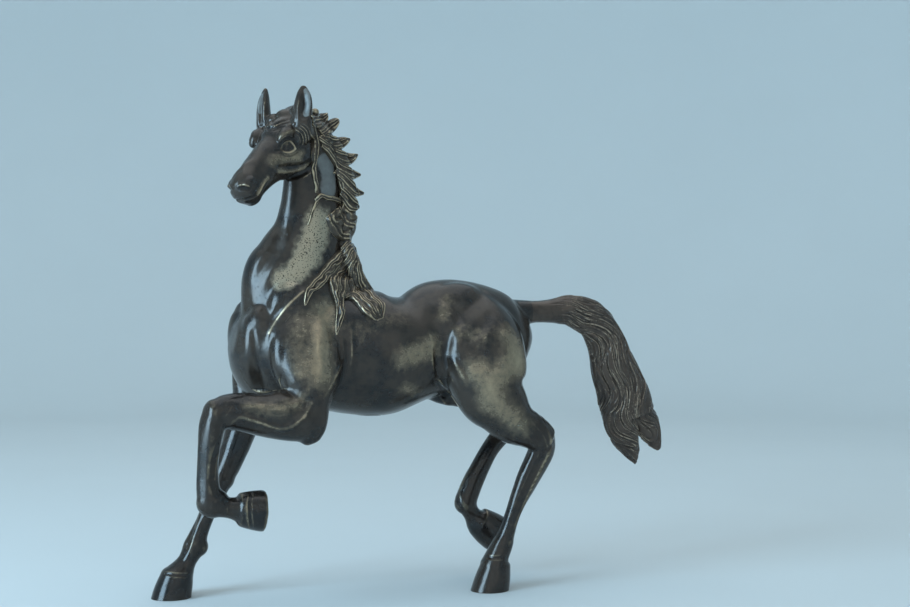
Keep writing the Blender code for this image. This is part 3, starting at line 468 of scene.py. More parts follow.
# The crest is mirrored across a plane. Its locks may stand proud of the skin, the less the farther from it.
CREST_PLANE = -6.0
CREST_PROUD = 1.5
PROUD_FROM = 6
PROUD_FADE = 4
ON_SKIN = 0.5

# The neck leans to the left above the withers, in millimetres a millimetre
WITHERS = 165
NECK_LEAN = 0.077

# Wear of the skin and of the hair, and painted shade in its hollows: passes that find fine and broad edges
# and hollows, and how much the edges count
FINE_PASSES = 5
BROAD_PASSES = 50
SKIN_RELIEF = 0.11
SKIN_EDGES = 0.1
HAIR_RELIEF = 0.06
HAIR_EDGES = 0.4

# Patina rubbed by hands, which also paints the warm reflection of surfaces facing the front and some
# highlights, pale patina, a painted bluish reflection and painted shade, on the picture: half width in
# millimetres, strength and the points
BRUSH = 1.6
RUB_AND_SHEEN = 0.6
# Rubbed bare metal on the shoulder, flank, haunch and cheek, which also paints the warm reflection of
# surfaces facing the front. The bright lines on the jaw, lids and brow and the bright top of the iris are
# painted highlights.
RUBBED_AND_SHEEN = [
    (8.0, 0.9, [(405, 358), (418, 353), (433, 346)]), (5.0, 0.7, [(405, 388), (415, 392)]),
    (10.0, 0.95, [(478, 372), (494, 378), (512, 366)]), (9.0, 0.85, [(509, 335), (520, 350), (524, 362)]),
    (9.0, 0.9, [(490, 402), (506, 412), (522, 424)]), (10.0, 1.0, [(326, 312), (322, 335), (321, 374)]),
    (6.0, 0.5, [(298, 318), (293, 345), (296, 372)]), (6.0, 0.6, [(300, 402), (280, 409), (250, 407)]),
    (4.4, 0.75, [(273, 161), (281, 159), (299, 158)]), (3.0, 0.4, [(297, 154), (303, 151)]),
    (5.0, 0.6, [(447, 300), (443, 316)]), (7.0, 0.5, [(462, 330), (480, 336)]),
    (1.0, 0.8, [(303, 291), (289, 304), (277, 319), (269, 333)]),
    (2.0, 0.85, [(279, 171.6), (290, 172), (300, 170), (308, 165)]),
    (0.6, 1.0, [(281, 149.2), (283, 144.4), (286.6, 141.4), (290.6, 141.6), (293.8, 145), (295.6, 148.6)]),
    (0.6, 0.9, [(281.4, 149.6), (284.6, 151.8), (288.8, 152.4), (292.6, 151.2), (295.4, 149)]),
    (1.4, 0.6, [(280, 136.6), (286, 132.8), (295, 130.6)]), (1.8, 1.0, [(258, 193), (262, 186), (268, 178)]),
    (8.0, 0.4, [(360, 330), (380, 322), (400, 318)]), (1.0, 0.8, [(285.6, 144.4), (287.6, 143.8)]),
]
PALE = [
    (9.0, 1.0, [(318.4, 222), (314.9, 238.7), (308, 256)]),
    (7.0, 1.0, [(308, 256), (296, 269.7), (284, 281)]),
]
# Painted bluish reflection of the side window: on the neck below the crest and in the hollows of the ears
REFLECTION_SPOTS = [
    (6.0, 1.0, [(326, 163), (330, 176), (329, 188)]), (1.6, 0.7, [(261.5, 95), (260, 104), (260, 112)]),
    (2.0, 0.9, [(306.8, 91), (307.6, 99), (307.4, 107), (306, 114)]),
]
# Painted shade in the eye socket, in the creases of the lids, on the eyeball and in the nostril
SHADE_SPOTS = [
    (0.8, 0.9, [(287.2, 147.4), (288.6, 147.4)]), (4.6, 0.25, [(284, 145), (292, 146)]),
    (1.3, 0.9, [(275, 150.8), (281, 149.8)]),
    (0.9, 0.9, [(279.4, 145.6), (283, 139.8), (288, 137.6), (293.4, 139.2), (297.4, 144)]),
    (1.0, 0.35, [(280, 154.4), (286, 156.2), (292, 155.6), (298, 152.4)]),
    (1.8, 1.0, [(240, 188.4), (248.6, 189.2)]),
]


def at(point):
    """A drawn point in the frame, in metres."""
    return (Vector(point) + Vector(SHIFT)) * MM


def smooth_step(value):
    """0 below 0, 1 above 1 and a soft rise between."""
    value = np.clip(value, 0, 1)
    return value * value * (3 - 2 * value)


def path_through(stations, steps):
    """Points of a smooth curve through the stations; every number of a station is carried along."""
    rows = [Vector(station) for station in stations]
    if len(rows) == 1:
        return rows
    rows = [2 * rows[0] - rows[1]] + rows + [2 * rows[-1] - rows[-2]]
    path = []
    for a, b, c, d in zip(rows, rows[1:], rows[2:], rows[3:]):
        for step in range(steps):
            t = step / steps
            path.append(b + 0.5 * t * (c - a + t * (2 * a - 5 * b + 4 * c - d + t * (3 * (b - c) + d - a))))
    path.append(rows[-2])
    return path


def middles_of(stations, steps):
    """Middles along a smooth curve through the stations, in metres."""
    return np.array([at(row[:3]) for row in path_through(stations, steps)])


def placed(name, data):
    """A new object in the scene."""
    body = bpy.data.objects.new(name, data)
    bpy.context.scene.collection.objects.link(body)
    return body


@contextmanager
def opened(body):
    """The mesh of a body, to be worked on and put back."""
    mesh = bmesh.new()
    mesh.from_mesh(body.data)
    yield mesh
    mesh.to_mesh(body.data)
    mesh.free()


def tree_of(body):
    """A body's faces, sorted so that rays and nearest points are found."""
    return BVHTree.FromObject(body, bpy.context.evaluated_depsgraph_get())


def round_off(body):
    """Shades a body smooth."""
    for face in body.data.polygons:
        face.use_smooth = True


def skin_over(name, rings):
    """A closed skin over rings of points, in metres."""
    body = placed(name, bpy.data.meshes.new(name))
    with opened(body) as mesh:
        rows = [[mesh.verts.new(point) for point in ring] for ring in rings]
        for low, high in zip(rows, rows[1:]):
            for k in range(len(low)):
                following = (k + 1) % len(low)
                mesh.faces.new((low[k], low[following], high[following], high[k]))
        mesh.faces.new(list(reversed(rows[0])))
        mesh.faces.new(rows[-1])
        bmesh.ops.recalc_face_normals(mesh, faces=mesh.faces)
    return body


def ring_at(middle, depth, side, half_depth, half_width):
    """An elliptic section."""
    turns = [2 * math.pi * k / LOFT_SIDES for k in range(LOFT_SIDES)]
    return [middle + depth * (half_depth * math.cos(turn)) + side * (half_width * math.sin(turn))
            for turn in turns]


def loft(name, stations, across=(0, 1, 0), facing=None, place=Matrix()):
    """A closed skin over elliptic sections. Sections stand square to the path unless they face one way."""
    path = path_through(stations, LOFT_STEPS)
    middles = [Vector(row[:3]) for row in path]
    rings = []
    for i, row in enumerate(path):
        along = Vector(facing) if facing else middles[min(i + 1, len(path) - 1)] - middles[max(i - 1, 0)]
        along.normalize()
        side = Vector(across) - along * along.dot(Vector(across))
        side.normalize()
        halves = [max(half, LEAST_HALF) for half in row[3:]]
        rings.append([at(place @ point) for point in ring_at(middles[i], along.cross(side), side, *halves)])
    return skin_over(name, rings)


def lump(name, middle, halves, tilt=0, place=Matrix()):
    """A round swelling, turned about Y."""
    bpy.ops.mesh.primitive_uv_sphere_add(segments=LUMP_SIDES, ring_count=LUMP_RINGS, radius=1)
    body = bpy.context.object
    body.name = name
    shape = place @ Matrix.Translation(middle) @ Euler((0, math.radians(tilt), 0)).to_matrix().to_4x4()
    for vert in body.data.vertices:
        vert.co = at(shape @ Vector([vert.co[k] * halves[k] for k in range(3)]))
    return body


def hoof(name, sole, up, toe):
    """A hoof wall up to the coronet, which lies back from the toe. A planted one starts under its sole."""
    sole, up, toe = Vector(sole), Vector(up).normalized(), Vector(toe).normalized()
    planted = up == UP
    lean = PLANTED_LEAN if planted else RAISED_LEAN
    rows = []
    for share, length, width in HOOF_ROWS:
        if share >= 0 or planted:
            middle = sole + (up - lean * toe) * (HOOF_HEIGHT * share)
            rows.append((*middle, HOOF_LENGTH / 2 * length, HOOF_WIDTH / 2 * width))
    return loft(name, rows, across=up.cross(toe), facing=up)


def head_place():
    """Where the head's own axis lies on the horse."""
    pitch, yaw = math.radians(HEAD_PITCH), math.radians(HEAD_YAW)
    level = Vector((-math.cos(yaw), -math.sin(yaw), 0))
    forward = level * math.cos(pitch) - UP * math.sin(pitch)
    crown = level * math.sin(pitch) + UP * math.cos(pitch)
    turn = Matrix((forward, crown.cross(forward), crown)).transposed().to_4x4()
    return Matrix.Translation(HEAD_AT) @ turn


def apply_all(body):
    """Applies a body's modifiers from the top down."""
    bpy.context.view_layer.objects.active = body
    for step in list(body.modifiers):
        bpy.ops.object.modifier_apply(modifier=step.name)


def soften(body, passes, group=""):
    """Evens out a body's skin, all of it or by the weights of a group."""
    step = body.modifiers.new("Soften", "SMOOTH")
    step.factor = SOFTENING
    step.iterations = passes
    step.vertex_group = group
    apply_all(body)


def run_together(name, bodies, grid, passes):
    """Joins closed bodies into one skin on a grid, in millimetres, and softens it."""
    bpy.ops.object.select_all(action="DESELECT")
    for body in bodies:
        body.select_set(True)
    bpy.context.view_layer.objects.active = bodies[0]
    bpy.ops.object.join()
    body = bpy.context.object
    body.name = name
    body.data.name = name
    step = body.modifiers.new("Skin", "REMESH")
    step.mode = "VOXEL"
    step.voxel_size = grid * MM
    apply_all(body)
    soften(body, passes)
    return body


def nearest(points, path):
    """Distance from each point to the nearest point of a path, and which one it is."""
    reach = np.empty(len(points))
    index = np.empty(len(points), int)
    for start in range(0, len(points), BATCH):
        batch = slice(start, start + BATCH)
        gaps = np.linalg.norm(points[batch, None] - path[None], axis=2)
        index[batch] = gaps.argmin(axis=1)
        reach[batch] = gaps.min(axis=1)
    return reach, index


def close_to(points, path, reach):
    """Which points lie close to a path, their distance to it and the place on it."""
    inside = np.all((points > path.min(axis=0) - reach) & (points < path.max(axis=0) + reach), axis=1)
    which = np.flatnonzero(inside)
    gaps, index = nearest(points[which], path)
    near = gaps < reach
    return which[near], gaps[near], index[near]


class Clay:
    """The skin of a body as arrays of points, worked with strokes along its surface."""

    def __init__(self, body):
        self.body = body
        self.over = []
        self.take()

    def take(self):
        """Reads the points, normals and edges of the body."""
        mesh = self.body.data
        mesh.update()
        count = len(mesh.vertices)
        self.points = np.empty(count * 3)
        self.normals = np.empty(count * 3)
        mesh.vertices.foreach_get("co", self.points)
        mesh.vertices.foreach_get("normal", self.normals)
        self.points = self.points.reshape(-1, 3)
        self.normals = self.normals.reshape(-1, 3)
        self.edges = np.empty(len(mesh.edges) * 2, int)
        mesh.edges.foreach_get("vertices", self.edges)
        self.edges = self.edges.reshape(-1, 2)
        self.tree = tree_of(self.body)

    def give(self):
        """Puts the worked points back on the body."""
        self.body.data.vertices.foreach_set("co", self.points.ravel())
        self.body.data.update()
        self.take()

    def cast(self, pixels, plane=None, steps=0):
        """Points and normals of the skin under a curve on the picture. A plane stands in beside the skin."""
        hits = []
        longest = max((math.dist(a, b) for a, b in zip(pixels, pixels[1:])), default=0)
        for pixel in path_through(pixels, steps or math.ceil(longest / SAMPLE)):
            across = pixel[0] - PICTURE_WIDTH / 2
            above = PICTURE_HEIGHT / 2 - pixel[1]
            ray = AHEAD * FOCUS + ACROSS * across + UP * above
            found = [tree.ray_cast(CAMERA_AT, ray.normalized()) for tree in (self.tree, *self.over)]
            found = sorted((hit for hit in found if hit[0] is not None), key=lambda hit: hit[3])
            if found:
                hits.append(found[0][:2])
            elif plane:
                point, facing = plane
                reach = (point - CAMERA_AT).dot(facing) / ray.dot(facing)
                hits.append((CAMERA_AT + ray * reach, -facing))
        return hits

    def reflect(self, hits, point, normal, proud=None):
        """The same places on the other side of a plane, brought to the skin. Places off the skin keep their
        height over it, or stand proud by no more than some millimetres where they are far from the plane."""
        others = []
        for place, facing in hits:
            gap = (place - point).dot(normal)
            other = place - 2 * gap * normal
            found = self.tree.find_nearest(other)
            if self.tree.find_nearest(place)[3] < ON_SKIN * MM:
                others.append(found[:2])
                continue
            if proud and found[3] > proud * MM:
                held = found[0] + (other - found[0]) * (proud * MM / found[3])
                far = smooth_step(abs(gap) / MM / PROUD_FADE - PROUD_FROM / PROUD_FADE)
                other = other.lerp(held, float(far))
            others.append((other, facing - 2 * facing.dot(normal) * normal))
        return others

    def stroke(self, hits, kind, width, height, flipped=False):
        """Lifts or sinks the skin along a line of hits, less towards the ends."""
        if not hits:
            return
        path = np.array([place for place, _ in hits])
        facing = np.array([normal for _, normal in hits])
        if kind == "flat":
            length = np.linspace(0, 1, len(path))
            bends = np.polynomial.polynomial.polyfit(length, np.column_stack([path, facing]), 3)
            path, facing = np.split(np.polynomial.polynomial.polyval(length, bends).T, 2, axis=1)
        which, gaps, index = close_to(self.points, path, width * MM)
        share = index / max(len(path) - 1, 1)
        taper = 1.0
        if len(path) > 1:
            taper = np.sqrt(np.clip(np.sin(math.pi * (STROKE_END + (1 - 2 * STROKE_END) * share)), 0, 1))
        spread = gaps / (width * MM)
        rise = (1 - spread * spread) ** 2
        if kind == "flat":
            over = np.sum((self.points[which] - path[index]) * facing[index], axis=1)
            self.points[which] -= facing[index] * (over * rise * taper * height)[:, None]
            return
        if kind == "fold":
            along = np.gradient(path, axis=0)
            side = np.cross(along, facing)
            side /= np.linalg.norm(side, axis=1)[:, None] + 1e-12
            lean = np.sum((self.points[which] - path[index]) * side[index], axis=1) / (width * MM)
            rise = rise * lean * (-FOLD_GAIN if flipped else FOLD_GAIN)
        seen = np.sum(self.normals[which] * facing[index], axis=1) > SEEN
        lift = height * MM * rise * taper * seen
        self.points[which] += self.normals[which] * lift[:, None]

    def work(self, strokes, middle=None):
        """Works strokes from the picture into the skin, and into its other side across a plane."""
        for kind, width, height, pixels in strokes:
            hits = self.cast(pixels)
            self.stroke(hits, kind, width, height)
            if middle:
                self.stroke(self.reflect(hits, *middle), kind, width, height, True)

    def painted(self, hits, half):
        """How much a soft brush along a line of hits covers each point."""
        cover = np.zeros(len(self.points))
        width = BRUSH * half * MM
        which, gaps, _ = close_to(self.points, np.array([place for place, _ in hits]), width)
        cover[which] = smooth_step(1 - gaps / width)
        return cover

    def averaged(self, values, passes):
        """Values of the points, spread over their neighbours."""
        count = len(self.points)
        ends = np.bincount(self.edges.ravel(), minlength=count).astype(float)
        a, b = self.edges.T
        for _ in range(passes):
            total = np.bincount(a, values[b], count) + np.bincount(b, values[a], count)
            values = 0.5 * values + 0.5 * total / np.maximum(ends, 1)
        return values

    def bulge(self, passes):
        """How far the skin is raised over its surroundings, in millimetres, below zero where it is hollow."""
        moved = np.column_stack([self.averaged(self.points[:, k], passes) for k in range(3)])
        return np.sum((self.points - moved) * self.normals, axis=1) / MM

    def keep(self, name, values):
        """Keeps values from 0 to 1 on the skin, for its material."""
        layer = self.body.data.attributes.new(name, "FLOAT", "POINT")
        layer.data.foreach_set("value", np.clip(values, 0, 1).astype(np.float32))


def noise_at(points, size):
    """Soft noise from -1 to 1 with lumps of a size in millimetres."""
    return np.array([noise.noise(Vector(point) / (size * MM)) for point in points])


# Whole skin of the horse
head_at = head_place()
forms = [loft("barrel", BARREL), loft("neck", NECK), loft("dock", DOCK), loft("tail", TAIL)]
forms.append(loft("sheath", SHEATH))
forms += [loft("tail lock", row) for row in TAIL_LOCKS]
forms += [lump("muscle", *muscle) for muscle in MUSCLES]
forms.append(loft("skull", SKULL, place=head_at))
forms += [lump("head lump", *form, place=head_at) for form in HEAD_LUMPS]
forms += [loft("ear", ear, across=EAR_ACROSS) for ear in (LEFT_EAR, RIGHT_EAR)]
for leg in LEGS.values():
    forms += [loft("leg", run) for run in leg["runs"] + leg["lower"]]
    forms += [lump("leg joint", *knot) for knot in leg["knots"]]
    forms.append(hoof("hoof", *leg["hoof"]))
skin = run_together("horse", forms, SKIN_GRID, SKIN_PASSES)


def seam_depth(points, seam):
    """Distance of points past a seam, in millimetres."""
    return (points - np.array(at(seam[0]))) @ np.array(Vector(seam[1]).normalized()) / MM


def before(points, seam, start):
    """1 before a seam and 0 past it, with a soft fall that starts some millimetres before the seam."""
    return 1 - smooth_step((seam_depth(points, seam) + start) / SEAM_FADE)


# The large forms of the trunk are softened more than the head, the lower legs and the tail
points = Clay(skin).points
below_neck = 1 - smooth_step((points[:, 2] / MM - NECK_ROOT) / NECK_FADE)
trunk = below_neck.copy()
which = close_to(points, middles_of(TAIL[2:], PATH_STEPS), TAIL_REACH * MM)[0]
which = which[np.abs(points[which, 1]) < TAIL_SIDE * MM]
trunk[which] *= before(points[which], TAIL_SEAM, TAIL_BEFORE)
for leg in LEGS.values():
    leg_path = np.concatenate([middles_of(run, PATH_STEPS) for run in leg["lower"]])
    which = close_to(points, leg_path, LEG_REACH * MM)[0]
    trunk[which] *= before(points[which], leg["seam"], LEG_BEFORE)
trunk = np.maximum(trunk, LEAST_SOFTENED * below_neck)
group = skin.vertex_groups.new(name="trunk")
for level in range(1, WEIGHT_LEVELS + 1):
    members = np.flatnonzero((trunk > (level - 1) / WEIGHT_LEVELS) & (trunk <= level / WEIGHT_LEVELS))
    group.add(members.tolist(), level / WEIGHT_LEVELS, "REPLACE")
soften(skin, TRUNK_PASSES, "trunk")
skin.vertex_groups.clear()


def cut_ground(body):
    """Cuts the soles of the standing hooves flat."""
    with opened(body) as mesh:
        low = [face for face in mesh.faces if face.calc_center_median().z < SOLE_REACH * MM]
        rim = {edge for face in low for edge in face.edges}
        corners = {vert for face in low for vert in face.verts}
        bmesh.ops.bisect_plane(mesh, geom=[*corners, *rim, *low], dist=1e-7, plane_co=(0, 0, 0),
                               plane_no=(0, 0, 1), clear_inner=True)
        bmesh.ops.holes_fill(mesh, edges=[edge for edge in mesh.edges if edge.is_boundary], sides=0)


def refine(body, wanted):
    """Halves the grid of the faces that are wanted."""
    with opened(body) as mesh:
        faces = [face for face in mesh.faces if wanted(face.calc_center_median())]
        rim = list({edge for face in faces for edge in face.edges})
        bmesh.ops.subdivide_edges(mesh, edges=rim, cuts=1, use_grid_fill=True)


def wants_detail(middle):
    """True on the head and on the tail."""
    drawn = middle / MM - Vector(SHIFT)
    if drawn.z > HEAD_DETAIL_FROM:
        return (drawn - Vector(HEAD_SEAM[0])).dot(Vector(HEAD_SEAM[1])) > -HEAD_DETAIL_BEFORE
    return drawn.x > TAIL_DETAIL_FROM and abs(drawn.y) < TAIL_DETAIL_SIDE


cut_ground(skin)
refine(skin, wants_detail)
round_off(skin)

# Muscles, tendons and hooves
clay = Clay(skin)
BODY_MIDDLE = (at((0, 0, 0)), Vector((0, 1, 0)))
HEAD_MIDDLE = (at(HEAD_AT), (head_at.to_3x3() @ Vector((0, 1, 0))).normalized())
uneven = sum(noise_at(clay.points, size) * height for size, height in UNEVEN)
clay.points += clay.normals * (uneven * MM)[:, None]
clay.give()
clay.work(TRUNK_STROKES, BODY_MIDDLE)
clay.work(LEG_STROKES)
clay.give()

# Face and ears
clay.work(HEAD_STROKES, HEAD_MIDDLE)
clay.work(EAR_STROKES)
clay.give()


def cleft(value, width):
    """1 where a value is 0, falling to 0 at a width."""
    return max(0, 1 - abs(value) / width)


def furrow(turn, reach):
    """Height of the strands at a turn about the tail and a reach along it, from about -1 to 1."""
    spot = Vector((math.cos(turn) * 3.2, math.sin(turn) * 3.2, reach / 26))
    broad = noise.noise(spot)
    fine = noise.noise(spot * 2.3 + Vector((7, 3, 1)))
    return 0.5 * broad - 0.75 * cleft(broad, 0.16) + 0.3 * fine - 0.4 * cleft(fine, 0.15)


# Strands of the tail
tail_path = middles_of(TAIL[2:] + [TAIL_TIP], TAIL_STEPS)
which, _, index = close_to(clay.points, tail_path, STRANDS_REACH * MM)
mask = (np.abs(clay.points[which, 1]) < TAIL_SIDE * MM) & (seam_depth(clay.points[which], TAIL_SEAM) > 0)
which, index = which[mask], index[mask]
along = np.gradient(tail_path, axis=0)
along /= np.linalg.norm(along, axis=1)[:, None]
length = np.concatenate([[0], np.cumsum(np.linalg.norm(np.diff(tail_path, axis=0), axis=1))]) / MM
out = clay.points[which] - tail_path[index]
side = np.array([0, 1, 0]) - along * along[:, 1:2]
depth = np.cross(along, side)
turn = np.arctan2(np.sum(out * side[index], axis=1), np.sum(out * depth[index], axis=1))
reach = length[index] + np.sum(out * along[index], axis=1) / MM
sway = turn + 0.35 * np.sin(reach / 13) + 0.2 * np.sin(reach / 5.3 + 2)
heights = np.array([furrow(*spot) for spot in zip(sway, reach)])
strong = smooth_step((reach - STRANDS_START) / STRANDS_FADE)
clay.points[which] += clay.normals[which] * (heights * strong * MM)[:, None]
clay.give()


def hair(name, bodies, ground):
    """Locks run together. What lies deep in the skin below is brought up close under it."""
    body = run_together(name, bodies, HAIR_GRID, 1)
    locks = Clay(body)
    for i, point in enumerate(locks.points):
        found = ground.tree.find_nearest(Vector(point), HAIR_REACH * MM)
        if found[0] is not None:
            deep = (Vector(point) - found[0]).dot(found[1])
            if deep < -HAIR_DEEP * MM:
                locks.points[i] = found[0] - found[1] * HAIR_DEEP * MM
    locks.give()
    round_off(body)
    return body


def evened(columns):
    """Columns of hits with their places and normals averaged along and across."""
    rows = np.array([[[*place, *normal] for place, normal in column] for column in columns])
    for axis, reach in ((1, EVENED_ALONG), (0, STRAND_SIDES)):
        sides = [(0, 0)] * 3
        sides[axis] = (reach, reach)
        padded = np.pad(rows, sides, "reflect", reflect_type="odd")
        steps = range(2 * reach + 1)
        rows = sum(np.take(padded, range(k, k + rows.shape[axis]), axis) for k in steps) / len(steps)
    return [[(Vector(row[:3]), Vector(row[3:]).normalized()) for row in column] for column in rows]


def between(first, last, strands, plane):
    """Columns of hits from the first line of a lock to its last."""
    steps = math.ceil(max(math.dist(a, b) for line in (first, last) for a, b in zip(line, line[1:])) / SAMPLE)
    columns = []
    for c in range(strands * STRAND_SIDES + 1):
        share = c / (strands * STRAND_SIDES)
        pixels = [Vector(a).lerp(Vector(b), share) for a, b in zip(first, last)]
        columns.append(clay.cast(pixels, plane, steps))
    return evened(columns)


def lock_height(across, share, reach, strands, thickness, sway):
    """Height of a lock over the skin, in millimetres, at shares of its width and of its length."""
    wave = 0.28 * math.sin(reach / 1.25 + strands) + 0.25 * math.sin(reach / 3 + 3 * strands)
    wave = sway * wave + 0.35 * math.sin(2.4 * strands * across + strands)
    strand = min(max(across * strands + wave * math.sin(math.pi * across), 0), strands - 0.001)
    own = (0.31 + 0.618 * int(strand)) % 1
    height = math.sqrt(max(1 - (2 * across - 1) ** 6, 0)) * thickness
    height *= smooth_step((1.02 - 0.1 * own - share) / 0.16) * (0.4 + 0.6 * smooth_step(share / 0.12))
    relief = STRAND_RELIEF * (0.6 + 0.8 * own) * (math.sin(math.pi * (strand % 1)) ** 0.8 - 0.6)
    return max(height + relief * smooth_step((1 - share) / 0.2), LEAST_HAIR)


def leaf(name, columns, strands, thickness, sway, sunk=None):
    """A lock over columns of hits, cut into strands. It is as thick below as above, or sunk into the skin."""
    rings = []
    middle = columns[len(columns) // 2]
    reach = np.cumsum([0.0] + [(b[0] - a[0]).length / MM for a, b in zip(middle, middle[1:])])
    count = len(columns[0])
    for i in range(count):
        tops = []
        bottoms = []
        for c, column in enumerate(columns):
            place, normal = column[i]
            across = c / (len(columns) - 1)
            height = lock_height(across, i / (count - 1), reach[i], strands, thickness, sway)
            tops.append(place + normal * height * MM)
            bottoms.append(place - normal * (height if sunk is None else sunk) * MM)
        rings.append(tops + bottoms[::-1])
    return skin_over(name, rings)


# Mane
comb = [loft("comb", CREST), lump("knob", *KNOB)]
clay.over = [tree_of(comb[0])]
crest_middle = (at((0, CREST_PLANE, 0)), Vector((0, 1, 0)))
for strands, thickness, first, last in CREST_LOCKS:
    columns = between(first, last, strands, crest_middle)
    comb.append(leaf("crest lock", columns, strands, thickness, CREST_SWAY))
    columns = [clay.reflect(column, *crest_middle, CREST_PROUD) for column in columns]
    comb.append(leaf("crest lock", columns, strands, thickness, CREST_SWAY))
fall_middle = (at((0, 0, WITHERS)), Vector((0, 1, NECK_LEAN)).normalized())
other_root = [(x, -y - 2 * NECK_LEAN * (z - WITHERS), z, *halves) for x, y, z, *halves in MANE_ROOT]
roots = [loft("root", MANE_ROOT), loft("root", other_root)]
clay.over += [tree_of(root) for root in roots]
falls = {"left": roots[:1], "right": roots[1:]}
for strands, thickness, first, last in FALL_LOCKS:
    columns = between(first, last, strands, fall_middle)
    falls["left"].append(leaf("lock", columns, strands, thickness, FALL_SWAY, HAIR_SUNK))
    columns = [clay.reflect(column, *fall_middle) for column in columns]
    falls["right"].append(leaf("lock", columns, strands, thickness, FALL_SWAY, HAIR_SUNK))
clay.over = []
crest = hair("mane_crest_bronze", comb, clay)
left_fall = hair("mane_fall_left_bronze", falls["left"], clay)
right_fall = hair("mane_fall_right_bronze", falls["right"], clay)


def wear_and_painted_light(clay, relief, edges, rubbed_and_sheen=(), shade_spots=(), spots=()):
    """Keeps on the skin where it is worn and rubbed, partly a painted warm reflection, painted shade in its
    hollows and spots, pale patina and painted bluish reflection.
    """
    fine = clay.bulge(FINE_PASSES)
    broad = clay.bulge(BROAD_PASSES)
    worn_and_sheen = 0.6 * smooth_step((fine / relief - 0.15) / 0.85) + edges * smooth_step((broad - 0.05) / 0.6)
    # Painted shade: the skin is darkened in its hollows
    painted_shade = 0.8 * smooth_step(-fine / relief) + 0.6 * smooth_step(-broad / 0.6)

    def both_sides(pixels):
        hits = clay.cast(pixels)
        return hits, clay.reflect(hits, *BODY_MIDDLE)

    # Painted shade spots
    for half, strength, pixels in shade_spots:
        painted_shade += strength * clay.painted(clay.cast(pixels), half)
    # Rubbed bare metal, partly a painted warm reflection and painted highlights
    for half, strength, pixels in rubbed_and_sheen:
        for places in both_sides(pixels):
            worn_and_sheen += strength * RUB_AND_SHEEN * clay.painted(places, half)
    for name, rows in spots:
        bright = np.zeros(len(worn_and_sheen))
        for half, strength, pixels in rows:
            for places in both_sides(pixels):
                bright = np.maximum(bright, strength * clay.painted(places, half))
        clay.keep(name, bright)
    clay.keep("worn_and_sheen", worn_and_sheen)
    clay.keep("painted_shade", painted_shade)


# Wear, painted shade and painted bluish reflection of the skin; wear and painted shade of the hair
wear_and_painted_light(clay, SKIN_RELIEF, SKIN_EDGES, RUBBED_AND_SHEEN, SHADE_SPOTS, (("pale", PALE), ("painted_reflection", REFLECTION_SPOTS)))
for body in (crest, left_fall, right_fall):
    wear_and_painted_light(Clay(body), HAIR_RELIEF, HAIR_EDGES)


def open_seam(mesh, seam, reach):
    """Cuts the skin through at a seam and parts its two sides."""
    point, facing = at(seam[0]), Vector(seam[1]).normalized()
    faces = [face for face in mesh.faces if (face.calc_center_median() - point).length < reach * MM]
    edges = {edge for face in faces for edge in face.edges}
    verts = {vert for face in faces for vert in face.verts}
    cut = bmesh.ops.bisect_plane(mesh, geom=[*verts, *edges, *faces], dist=1e-7, plane_co=point,
                                 plane_no=facing)
    rim = [item for item in cut["geom_cut"] if isinstance(item, bmesh.types.BMEdge)]
    bmesh.ops.split_edges(mesh, edges=rim)


def close_up(body):
    """Closes the openings of a casting with flat faces."""
    with opened(body) as mesh:
        rim = [edge for edge in mesh.edges if edge.is_boundary]
        for edge in rim:
            edge.smooth = False
        for face in bmesh.ops.holes_fill(mesh, edges=rim, sides=0)["faces"]:
            face.smooth = False


def best_node(body, names):
    """The CAD node whose box fits a body's box best."""
    corners = np.array([vert.co for vert in body.data.vertices])
    low, high = corners.min(axis=0), corners.max(axis=0)

    def misfit(name):
        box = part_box(name)
        return np.abs(low - np.array(box[0])).sum() + np.abs(high - np.array(box[1])).sum()
    return min(names, key=misfit)


def thin(body, limit):
    """Takes triangles out of a body down to a limit."""
    count = sum(len(face.vertices) - 2 for face in body.data.polygons)
    if count > limit:
        step = body.modifiers.new("Thin", "DECIMATE")
        step.ratio = limit / count
        apply_all(body)


# Castings
with opened(skin) as mesh:
    for seam in (NECK_SEAM, HEAD_SEAM, TAIL_SEAM):
        open_seam(mesh, seam, seam[2])
    for leg in LEGS.values():
        open_seam(mesh, leg["seam"], LEG_SEAM_REACH)
bpy.ops.object.select_all(action="DESELECT")
skin.select_set(True)
bpy.context.view_layer.objects.active = skin
bpy.ops.object.mode_set(mode="EDIT")
bpy.ops.mesh.select_all(action="SELECT")
bpy.ops.mesh.separate(type="LOOSE")
bpy.ops.object.mode_set(mode="OBJECT")
castings = {}
for body in sorted(bpy.context.selected_objects, key=lambda body: -len(body.data.polygons)):
    name = best_node(body, ["torso", "neck", "head", "tail", *LEGS])
    if name in castings:
        bpy.data.objects.remove(body)
        continue
    castings[name] = body
    body.name = name + "_bronze"
    body.data.name = body.name
    close_up(body)
torso = castings["torso"]

# Belly plug
belly = Clay(torso)
plug_at = at(PLUG_AT)
across = np.hypot(belly.points[:, 0] - plug_at.x, belly.points[:, 1] - plug_at.y) / MM
below = (belly.normals[:, 2] < FACES_DOWN) & (np.abs(belly.points[:, 2] - plug_at.z) < PLUG_NEAR * MM)
plug = torso.copy()
plug.data = torso.data.copy()
plug.name = plug.data.name = "belly_plug_bronze"
bpy.context.scene.collection.objects.link(plug)
with opened(plug) as mesh:
    inside = below & (across < PLUG_RADIUS)
    bmesh.ops.delete(mesh, geom=[vert for vert in mesh.verts if not inside[vert.index]], context="VERTS")
    for vert in mesh.verts:
        if vert.is_boundary:
            out = Vector((vert.co.x - plug_at.x, vert.co.y - plug_at.y, 0)).normalized() * PLUG_RADIUS * MM
            vert.co.x = plug_at.x + out.x
            vert.co.y = plug_at.y + out.y
step = plug.modifiers.new("Thickness", "SOLIDIFY")
step.thickness = PLUG_THICKNESS * MM
step.offset = -1
apply_all(plug)
sunk = below & (across < PLUG_RADIUS + PLUG_RIM)
belly.points[sunk] -= belly.normals[sunk] * (PLUG_RIM * MM)
belly.give()
for body in (*castings.values(), crest, left_fall, right_fall):
    thin(body, MOST_TRIANGLES)

